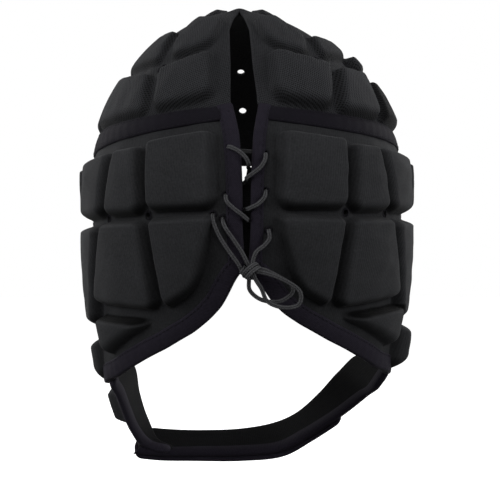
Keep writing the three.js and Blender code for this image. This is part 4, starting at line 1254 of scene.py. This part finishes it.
roll_down = np.linspace(SLIT_TOP + ROLL_TOP_GAP, ROLL_FOOT, ROLL_STOPS)
roll_turn = np.concatenate([-crown_slit_turn("left", roll_down)[::-1], crown_slit_turn("right", roll_down)])
roll_down = np.concatenate([roll_down[::-1], roll_down])
roll_lift = ROLL_LIFT + PEAK_HEIGHT * np.exp(-((roll_down - SLIT_TOP) * DOWN_STEP / PEAK_LENGTH) ** 2)
roll_path = even_curve(lifted(roll_turn, roll_down, roll_lift)[::ROLL_SKIP], ROLL_STEP)
roll_rings = tube_rings(roll_path, ROLL_RADIUS, ROLL_SIDES)
roll = swept("rolled_slit_edge", roll_rings, [crown_cloth], np.arange(ROLL_SIDES + 1) * ROLL_MAP_STEP,
             lengths_along(roll_path))
finish_piece(roll, "crown_mesh")

# %% Tongue
TONGUE_EDGE = np.array([[86.5, 0.4], [91, -0.4], [94.5, -4], [98, -11], [120.6, -12.5]])
TONGUE_SEWN = np.array([[13.5, -5.2], [16.5, -2.8], [21, -0.4]])
TONGUE_LIFT = -5.6
TONGUE_THICKNESS = 1.2
TONGUE_STOPS = 40
TONGUE_FREE_STOPS = 14
TONGUE_LINE = 5
TONGUE_WAVE = 0.25
TONGUE_WAVE_RATES = (0.5, 0.3)

tongue_rings = []
for down in np.linspace(TONGUE_EDGE[0, 0], TONGUE_EDGE[-1, 0], TONGUE_STOPS):
    free = float(read(TONGUE_EDGE, down))
    free_part = np.linspace((free, TONGUE_LIFT), TONGUE_SEWN[0], TONGUE_FREE_STOPS)
    across, lift = np.vstack([free_part, TONGUE_SEWN[1:]]).T
    wave_angle = across * TONGUE_WAVE_RATES[0] + down * TONGUE_WAVE_RATES[1]
    lift = lift + TONGUE_WAVE * np.sin(wave_angle) * (across < TONGUE_SEWN[1, 0])
    across_ring = np.concatenate([across, across[::-1]])
    lift_ring = np.concatenate([lift, lift[::-1] - TONGUE_THICKNESS])
    tongue_rings.append(lifted(turn_for(across_ring, down), np.full(across_ring.shape, down), lift_ring))
tongue_rings = np.array(tongue_rings)
tongue = swept("slit_tongue_cloth", tongue_rings, [lining_cloth], around(tongue_rings[0]),
               lengths_along(tongue_rings[:, TONGUE_LINE]))
finish_piece(tongue, "strap", "slit_tongue")

# %% [markdown]
# ## Chin strap and cheek tab
# The strap leaves the right flap, passes under the chin and closes on the tab of the left flap. Both are
# flat padded strips: a rounded section carried between two edge curves. The outer cloth, the dark lining
# inside and the tape along the lower edge are what shows from behind. A row of STRAP or TAB is a place on
# the front edge and one on the rear edge. Each strip begins with the two rows of its flap in SEAT_PLACES,
# where a place is degrees round, degrees down and millimetres out.

# %% Strap helpers
STRAP_THICKNESS = 3.0
TAB_THICKNESS = 3.0
FACING_THICKNESS = 2.2
FACING_SHARE = 0.95
FACING_GAP = 0.3
STRAP_WIDTH_SHARE = 0.84
STATIONS_PER_SPAN = 12
SEAT_PLACES = {
    "left": [[(99, 143, -2.2), (77, 145, -2.2)], [(100, 150, -2.2), (78, 158.5, 2.0)]],
    "right": [[(99, 143, -2.2), (84, 146, 0.5)], [(100, 150, -2.2), (87, 158, 5.0)]],
}
STRAP = [
    [[64.5, 36.5, -201], [80.3, 3, -218]],
    [[56, 48.5, -210.5], [75, 24, -225]],
    [[45.5, 61, -224], [60.5, 41, -238]],
    [[31, 76, -238.5], [39, 59, -254]],
    [[16, 85, -246], [22, 66, -263.8]],
    [[-4, 88, -250], [-4, 68, -266.5]],
    [[-28, 81, -250], [-33, 63, -266]],
    [[-47, 70, -248], [-53, 54, -265]],
    [[-64, 57.5, -245], [-70, 43, -262]],
]
TAB = [
    [[-69.5, 33, -206], [-76, 1, -220]],
    [[-67.3, 43, -222], [-73.3, 15.5, -231]],
    [[-62.7, 53, -239], [-69.6, 28.5, -243]],
    [[-55.6, 56.0, -252], [-62.8, 48, -254.4]],
    [[-45.4, 60.5, -257.8], [-49.6, 55.4, -260.4]],
]
EDGE_ARC = np.radians([60, 30, 0, -30, -60])
BLUNT_END = 0.985


def flap_seat(side, sign):
    return [[lifted(sign * turn, down, lift) for turn, down, lift in pair] for pair in SEAT_PLACES[side]]


def strap_frame(stations, end_sign):
    """Front edge, rear edge and outward direction at many stations along a strap."""
    fronts = smooth_curve([pair[0] for pair in stations], STATIONS_PER_SPAN)
    rears = smooth_curve([pair[1] for pair in stations], STATIONS_PER_SPAN)
    along = np.gradient((fronts + rears) / 2, axis=0)
    face = unit(np.cross(rears - fronts, along)) * end_sign
    return fronts, rears, face


def strip_section(width, low, high, stops):
    """Across and lay of the points round a flat strip with round edges."""
    half = (high - low) / 2
    middle = (high + low) / 2
    rear = [(width - half + half * math.cos(a), middle + half * math.sin(a)) for a in EDGE_ARC]
    fore = [(half - half * math.cos(a), middle - half * math.sin(a)) for a in EDGE_ARC]
    inner = np.linspace(half, width - half, stops)
    top = [(x, high) for x in inner]
    bottom = [(x, low) for x in inner[::-1]]
    return np.array(top + rear + bottom + fore), len(top), len(rear)


def round_ends(mm_along, start_reach, end_reach):
    """How much of the width is left towards a strip's round ends."""
    to_start = np.clip(1 - mm_along / max(start_reach, TINY), 0, BLUNT_END)
    to_end = np.clip(1 - (mm_along[-1] - mm_along) / end_reach, 0, BLUNT_END)
    return np.sqrt(1 - np.maximum(to_start, to_end) ** 2)


print("strap stations:", len(STRAP) + 2, "tab stations:", len(TAB) + 2)

# %% Straps
TAB_PAD_SPAN = (0.36, 0.66)
TAB_PAD_HEIGHT = 9.2
TAB_PAD_EDGES = (0.08, 0.92)
TAB_PAD_SLOPES = (0.06, 0.16)
FACE_STOPS = 15
FACING_FROM_SPAN = 4
OUTER_ARC_POINTS = 3
STRAP_ENDS = (0, 7)
TAB_ENDS = (0, 4)
FACING_ENDS = (10, 8)


def strip(name, frame_lines, share, low, high, materials, reach, bulge=None):
    """A padded strip between its edge lines, with its outer face at high and its lining at low."""
    fronts, rears, face = frame_lines
    mm_along = lengths_along((fronts + rears) / 2)
    narrow = round_ends(mm_along, *reach)
    rings = []
    for i, (fore, rear, out) in enumerate(zip(fronts, rears, face)):
        width = float(np.linalg.norm(rear - fore)) * share
        section, tops, arcs = strip_section(width, low, high, FACE_STOPS)
        across = unit(rear - fore)
        x = width / 2 + (section[:, 0] - width / 2) * narrow[i]
        lay = section[:, 1].copy()
        if bulge is not None:
            lay[:tops] += bulge(mm_along[i] / mm_along[-1], x[:tops] / width)
        rings.append(fore + x[:, None] * across + lay[:, None] * out)
    rings = np.array(rings)
    lining_side = [int(tops + OUTER_ARC_POINTS <= k <= tops + arcs + tops) for k in range(len(section))]
    return swept(name, rings, materials, around(rings[len(rings) // 2]), mm_along, lining_side)


def tab_bulge(share_along, share_across):
    start, end = TAB_PAD_SPAN
    fore, rear = TAB_PAD_EDGES
    inside_along = min(share_along - start, end - share_along) / TAB_PAD_SLOPES[0]
    inside_across = np.minimum(share_across - fore, rear - share_across) / TAB_PAD_SLOPES[1]
    climb = np.clip(inside_along, 0, 1) * np.clip(inside_across, 0, 1)
    return TAB_PAD_HEIGHT * (1 - (1 - climb) ** PAD_CURVE)


strap_lines = strap_frame([*flap_seat("right", 1), *STRAP], 1)
tab_lines = strap_frame([*flap_seat("left", -1), *TAB], -1)
facing_lines = tuple(line[FACING_FROM_SPAN * STATIONS_PER_SPAN:] for line in strap_lines)
chin_strap = strip("chin_strap_cloth", strap_lines, STRAP_WIDTH_SHARE, -STRAP_THICKNESS, 0,
                   [strap_cloth, lining_cloth], STRAP_ENDS)
tab = strip("cheek_tab_cloth", tab_lines, 1, -TAB_THICKNESS, 0, [flap_cloth, strap_cloth], TAB_ENDS,
            tab_bulge)
facing = strip("strap_facing_cloth", facing_lines, FACING_SHARE, FACING_GAP, FACING_GAP + FACING_THICKNESS,
               [tape_cloth, tape_cloth], FACING_ENDS)
finish_piece(chin_strap, "strap", "chin_strap")
finish_piece(tab, "strap", "cheek_tab", "cheek_tab_pad")
finish_piece(facing, "strap", "strap_facing")

# %% Tape along the straps' lower edges
STRAP_TAPE_WIDTH = 6.0
STRAP_TAPE_LIP = 0.9
STRAP_TAPE_LEG = 0.8
TAB_TAPE_LIP = 3.0
TAB_TAPE_LEG = 2.2
TAB_TAPE_SHARE = 0.98
TAPE_END = 7.0
TAPE_PROUD = 0.5
TAPE_BITE = 1.2
TAPE_OUTER_POINTS = [(0, 0.05), (0.3, TAPE_PROUD)]
TAPE_INNER_POINTS = [(-1, -0.6), (0.4 - STRAP_TAPE_WIDTH, -0.55), (-STRAP_TAPE_WIDTH, 0.1)]


def edge_tape(name, frame_lines, share, thickness, outer_leg, lip, finish):
    """Tape folded over a strip's rear edge, its section given from that edge and from the strip's faces."""
    fronts, rears, face = (line[STATIONS_PER_SPAN:] for line in frame_lines)
    narrow = round_ends(lengths_along(rears), 0, TAPE_END)
    half = thickness / 2
    outer = [(past - outer_leg, lay) for past, lay in TAPE_OUTER_POINTS]
    nose = [(lip * math.cos(a), -half + (half + TAPE_PROUD) * math.sin(a)) for a in EDGE_ARC]
    inner = [(past, lay - thickness) for past, lay in TAPE_INNER_POINTS]
    outline = np.array([*outer, *nose, *inner, (-TAPE_BITE, -half)])
    rings = []
    for fore, rear, out, left in zip(fronts, rears, face, narrow):
        width = float(np.linalg.norm(rear - fore)) * share
        past = width + outline[:, :1] * left
        rings.append(fore + past * unit(rear - fore) + outline[:, 1:] * out)
    return swept(name, rings, [finish], around(rings[0]), lengths_along(rears))


strap_tape = edge_tape("strap_edge_tape", strap_lines, STRAP_WIDTH_SHARE, STRAP_THICKNESS, STRAP_TAPE_LEG,
                       STRAP_TAPE_LIP, tape_cloth)
# The tab's tape takes the paler copy: painted light.
tab_tape = edge_tape("tab_edge_tape", tab_lines, TAB_TAPE_SHARE, TAB_THICKNESS, TAB_TAPE_LEG, TAB_TAPE_LIP,
                     tab_tape_painted_light)
finish_piece(strap_tape, "tape")
finish_piece(tab_tape, "tape")

# %% [markdown]
# ## Stitches
# Thread holds all of this together: a running stitch along each tape, and a ring of close stitches round
# each hole. Both are the same small spindle set out many times, so one Geometry Nodes tree does them: it
# puts a spindle on each point of a carrier mesh and turns it to the heading stored there.

# %% Stitch tree
THREAD_THICKNESS = 0.42
SPINDLE_SIDES = 6
SPINDLE_RINGS = 4
SPINDLE_RADIUS = 0.5


def stitch_tree():
    inputs = [("Geometry", "NodeSocketGeometry", None), ("Stitch Length", "NodeSocketFloat", None),
              ("Thread Thickness", "NodeSocketFloat", None), ("Thread", "NodeSocketMaterial", None)]
    outputs = [("Geometry", "NodeSocketGeometry")]
    tree, entry, leave = new_group("sewn_stitches", inputs, outputs, "GeometryNodeTree")
    spindle = make(tree, "GeometryNodeMeshUVSphere", Segments=SPINDLE_SIDES, Rings=SPINDLE_RINGS,
                   Radius=SPINDLE_RADIUS)
    heading = make(tree, "GeometryNodeInputNamedAttribute", Name="heading")
    heading.data_type = "FLOAT_VECTOR"
    turned = make(tree, "FunctionNodeAlignRotationToVector", Vector=heading.outputs[0])
    turned.axis = "Z"
    thickness = entry["Thread Thickness"]
    size = make(tree, "ShaderNodeCombineXYZ", X=thickness, Y=thickness, Z=entry["Stitch Length"])
    spread = make(tree, "GeometryNodeInstanceOnPoints", Points=entry["Geometry"],
                  Instance=spindle.outputs["Mesh"], Rotation=turned.outputs[0], Scale=size.outputs[0])
    realized = make(tree, "GeometryNodeRealizeInstances", Geometry=spread.outputs[0])
    dressed = make(tree, "GeometryNodeSetMaterial", Geometry=realized.outputs[0], Material=entry["Thread"])
    tree.links.new(dressed.outputs[0], leave["Geometry"])
    return tree


stitches = stitch_tree()
socket_of = {item.name: item.identifier for item in stitches.interface.items_tree if item.in_out == "INPUT"}


def sewn(name, lines, length_mm, slot):
    """A plain mesh of stitches along these lines, each line a pair of points and headings."""
    points_mm, headings = (np.vstack(parts) for parts in zip(*lines))
    carrier_mesh = bpy.data.meshes.new(name)
    carrier_mesh.from_pydata((points_mm * MM).tolist(), [], [])
    attribute = carrier_mesh.attributes.new("heading", "FLOAT_VECTOR", "POINT")
    attribute.data.foreach_set("vector", np.asarray(headings, np.float32).ravel())
    carrier = scene_object(f"{name}_carrier", carrier_mesh)
    modifier = carrier.modifiers.new("stitches", "NODES")
    modifier.node_group = stitches
    modifier[socket_of["Stitch Length"]] = length_mm * MM
    modifier[socket_of["Thread Thickness"]] = THREAD_THICKNESS * MM
    modifier[socket_of["Thread"]] = thread_cloth
    mesh = bpy.data.meshes.new_from_object(carrier.evaluated_get(bpy.context.evaluated_depsgraph_get()))
    bpy.data.objects.remove(carrier)
    mesh.polygons.foreach_set("use_smooth", np.ones(len(mesh.polygons), bool))
    finish_piece(scene_object(name, mesh), slot)


print("stitch inputs:", socket_of)

# %% Running stitches along the tapes
STITCH_PITCH = 3.0
STITCH_LENGTH = 2.3
STITCH_INSET = 1.1
STITCH_SINK = 0.05
STITCH_LIFT = TAPE_SEAT + TAPE - STITCH_SINK
BAND_STITCH_TURNS = (9, TEMPLE - 2)
BAND_STITCH_STOPS = 160
BAND_STITCH_ROWS = [(-0.78, 3.75), (0.8, 4.15)]


def stitch_line(turn, down, lift):
    """Points and headings of a running stitch along a line of places."""
    line = lifted(turn, down, lift)
    along = lengths_along(line)
    stops = np.arange(STITCH_PITCH, along[-1], STITCH_PITCH)
    points = np.stack([np.interp(stops, along, line[:, axis]) for axis in range(3)], axis=-1)
    return points, unit(np.gradient(points, axis=0))


stitch_lines = []
band_turn = np.linspace(*BAND_STITCH_TURNS, BAND_STITCH_STOPS)
for side, sign in SIDES:
    turn, down, width = flap_edges[side]
    inner_turn, inner_down = step_in(sign * turn, down, (width - STITCH_INSET) * sign)
    stitch_lines.append(stitch_line(inner_turn, inner_down, np.full(turn.shape, SHELL_WALL + STITCH_LIFT)))
    for edge, lift in BAND_STITCH_ROWS:
        band_line = band_down(band_turn) + edge * band_half(band_turn)
        stitch_lines.append(stitch_line(sign * band_turn, band_line, np.full(band_turn.shape, lift)))
inner_turn, inner_down = step_in(brow_turn, brow_down, brow_width - STITCH_INSET)
stitch_lines.append(stitch_line(inner_turn, inner_down, np.full(brow_turn.shape, CROWN_WALL + STITCH_LIFT)))
sewn("tape_stitches", stitch_lines, STITCH_LENGTH, "tape")

# %% Thread rings round the holes
RING_STITCHES = 22
RING_LENGTH = 1.5
RING_REACH = 0.55
RING_LIFT = 0.2
RING_DIP = 0.25
BACKING_SIDES = 12
BACKING_REACH = 0.8
BACKING_LIFTS = (-0.5, -0.1)
BACKING_SHARP_DEGREES = 30


def hole_ring(hole_turn, hole_down, radius, wall):
    """Points and headings of the stitches round a hole, each pointing away from it and into the cloth."""
    angles = np.arange(RING_STITCHES) * TURN / RING_STITCHES
    out = outward(np.array(hole_turn), np.array(hole_down))
    east = unit(np.cross([0, 0, 1.0], out))
    north = np.cross(out, east)
    spokes = np.cos(angles)[:, None] * east + np.sin(angles)[:, None] * north
    middle = lifted(np.array(hole_turn), np.array(hole_down), wall + RING_LIFT)
    return middle + spokes * (radius + RING_REACH), unit(spokes - RING_DIP * out)


def hole_backing(hole_turn, hole_down, radius):
    """A thin round of lining inside a hole, coloured near black as painted shade."""
    angles = np.arange(BACKING_SIDES) * TURN / BACKING_SIDES
    reach = radius + BACKING_REACH
    turn = hole_turn + np.cos(angles) * reach / float(turn_step(hole_turn, hole_down))
    down = hole_down + np.sin(angles) * reach / DOWN_STEP
    return [lifted(turn, down, np.full(BACKING_SIDES, lift)) for lift in BACKING_LIFTS]


sewn_holes = [((turn, down, CROWN_VENT_RADIUS), CROWN_WALL) for turn, down in CROWN_VENTS]
for side, sign in SIDES:
    sewn_holes += [(place, SHELL_WALL) for place in eyelet_places(side) + vent_places(sign)]
sewn("hole_stitches", [hole_ring(*place, wall) for place, wall in sewn_holes], RING_LENGTH, "lace")

backing_points = []
backing_faces = []
for place, _ in sewn_holes:
    first = len(backing_points)
    backing_points += list(np.vstack(hole_backing(*place)))
    near = [first + k for k in range(BACKING_SIDES)]
    far = [corner + BACKING_SIDES for corner in near]
    backing_faces += [near[::-1], far]
    backing_faces += [[near[k - 1], near[k], far[k], far[k - 1]] for k in range(BACKING_SIDES)]
# The backings' near black is painted shade inside the holes.
backing = new_piece("hole_backings", backing_points, backing_faces, [hole_shade_cloth],
                    sharp_degrees=BACKING_SHARP_DEGREES)
finish_piece(backing, "knit")

# %% [markdown]
# ## Studio
# A pale floor lies well below the cap, which hangs free. A big soft light from above and behind the
# camera models the blocks and leaves their undersides dark. One on each side lights the flaps, a weak
# cool one overhead rims the crown, and two stand beyond the cap for its front. The sky reads as plain
# white. The floor glows only beyond the cap, where it has to run into the white, so that no light comes
# up from right below.

# %% Floor and sky
FLOOR_Z = -0.33
FLOOR_HALF = 6.0
FLOOR_GLOW_FROM = 0.16
FLOOR_GLOW_FULL = 0.33
FLOOR_TONE = 0.75
FLOOR_BOUNCE = 0.1
FLOOR_ROUGHNESS = 0.9
FLOOR_SPECULAR = 0.1
SKY_LIGHT = 0.07
SKY_SEEN = 1.0
WHITE = (1, 1, 1, 1)


def seen_or_not(tree, unseen, seen):
    """One value for what the camera sees, and another for the light that bounces."""
    camera_ray = tree.nodes.new("ShaderNodeLightPath").outputs["Is Camera Ray"]
    return make(tree, "ShaderNodeMapRange", Value=camera_ray, To_Min=unseen, To_Max=seen).outputs["Result"]


def floor_finish():
    paint = bpy.data.materials.new("pale_floor")
    paint.use_nodes = True
    tree = paint.node_tree
    place = tree.nodes.new("ShaderNodeTexCoord").outputs["Object"]
    split = make(tree, "ShaderNodeSeparateXYZ", Vector=place)
    glow = make(tree, "ShaderNodeMapRange", Value=split.outputs["Y"], From_Min=FLOOR_GLOW_FROM,
                From_Max=FLOOR_GLOW_FULL)
    connect(tree, tree.nodes["Principled BSDF"], Base_Color=seen_or_not(tree, FLOOR_BOUNCE, FLOOR_TONE),
            Roughness=FLOOR_ROUGHNESS, Specular_IOR_Level=FLOOR_SPECULAR, Emission_Color=WHITE,
            Emission_Strength=glow.outputs["Result"])
    return paint


floor_mesh = bpy.data.meshes.new("studio_floor")
floor_corners = [(x * FLOOR_HALF, y * FLOOR_HALF, FLOOR_Z) for x, y in ((-1, -1), (1, -1), (1, 1), (-1, 1))]
floor_mesh.from_pydata(floor_corners, [], [[0, 1, 2, 3]])
floor_mesh.materials.append(floor_finish())
floor = scene_object("studio_floor", floor_mesh)

world = bpy.data.worlds.new("studio_sky")
world.use_nodes = True
sky_tree = world.node_tree
sky_strength = seen_or_not(sky_tree, SKY_LIGHT, SKY_SEEN)
connect(sky_tree, sky_tree.nodes["Background"], Color=WHITE, Strength=sky_strength)
scene.world = world
scene.view_settings.view_transform = "Standard"
print("floor at", FLOOR_Z, "m, sky light", SKY_LIGHT)

# %% Lights
# Columns: name, place in metres, size in metres, power in watts, tint
LIGHTS = [
    ("front_softbox", (-0.1, -1.45, 0.9), 1.2, 10.5, (1, 1, 1)),
    ("left_softbox", (-1.2, -0.55, 0.2), 0.9, 10, (0.97, 0.98, 1)),
    ("right_softbox", (1.2, -0.55, 0.2), 0.9, 10, (0.97, 0.98, 1)),
    ("overhead_softbox", (0.0, 0.1, 1.0), 0.8, 2.5, (0.93, 0.95, 1)),
    ("far_left_softbox", (-1.05, 1.0, 0.45), 0.9, 9, (1, 1, 1)),
    ("far_right_softbox", (1.05, 1.0, 0.45), 0.9, 9, (1, 1, 1)),
]
AIM = Vector((0, 0, -0.11))
for name, place, size, power, tint in LIGHTS:
    light_data = bpy.data.lights.new(name, "AREA")
    light_data.size = size
    light_data.energy = power
    light_data.color = tint
    light = scene_object(name, light_data)
    light.location = place
    light.rotation_euler = (AIM - Vector(place)).to_track_quat("-Z", "Y").to_euler()
print("lights:", [name for name, *_ in LIGHTS])
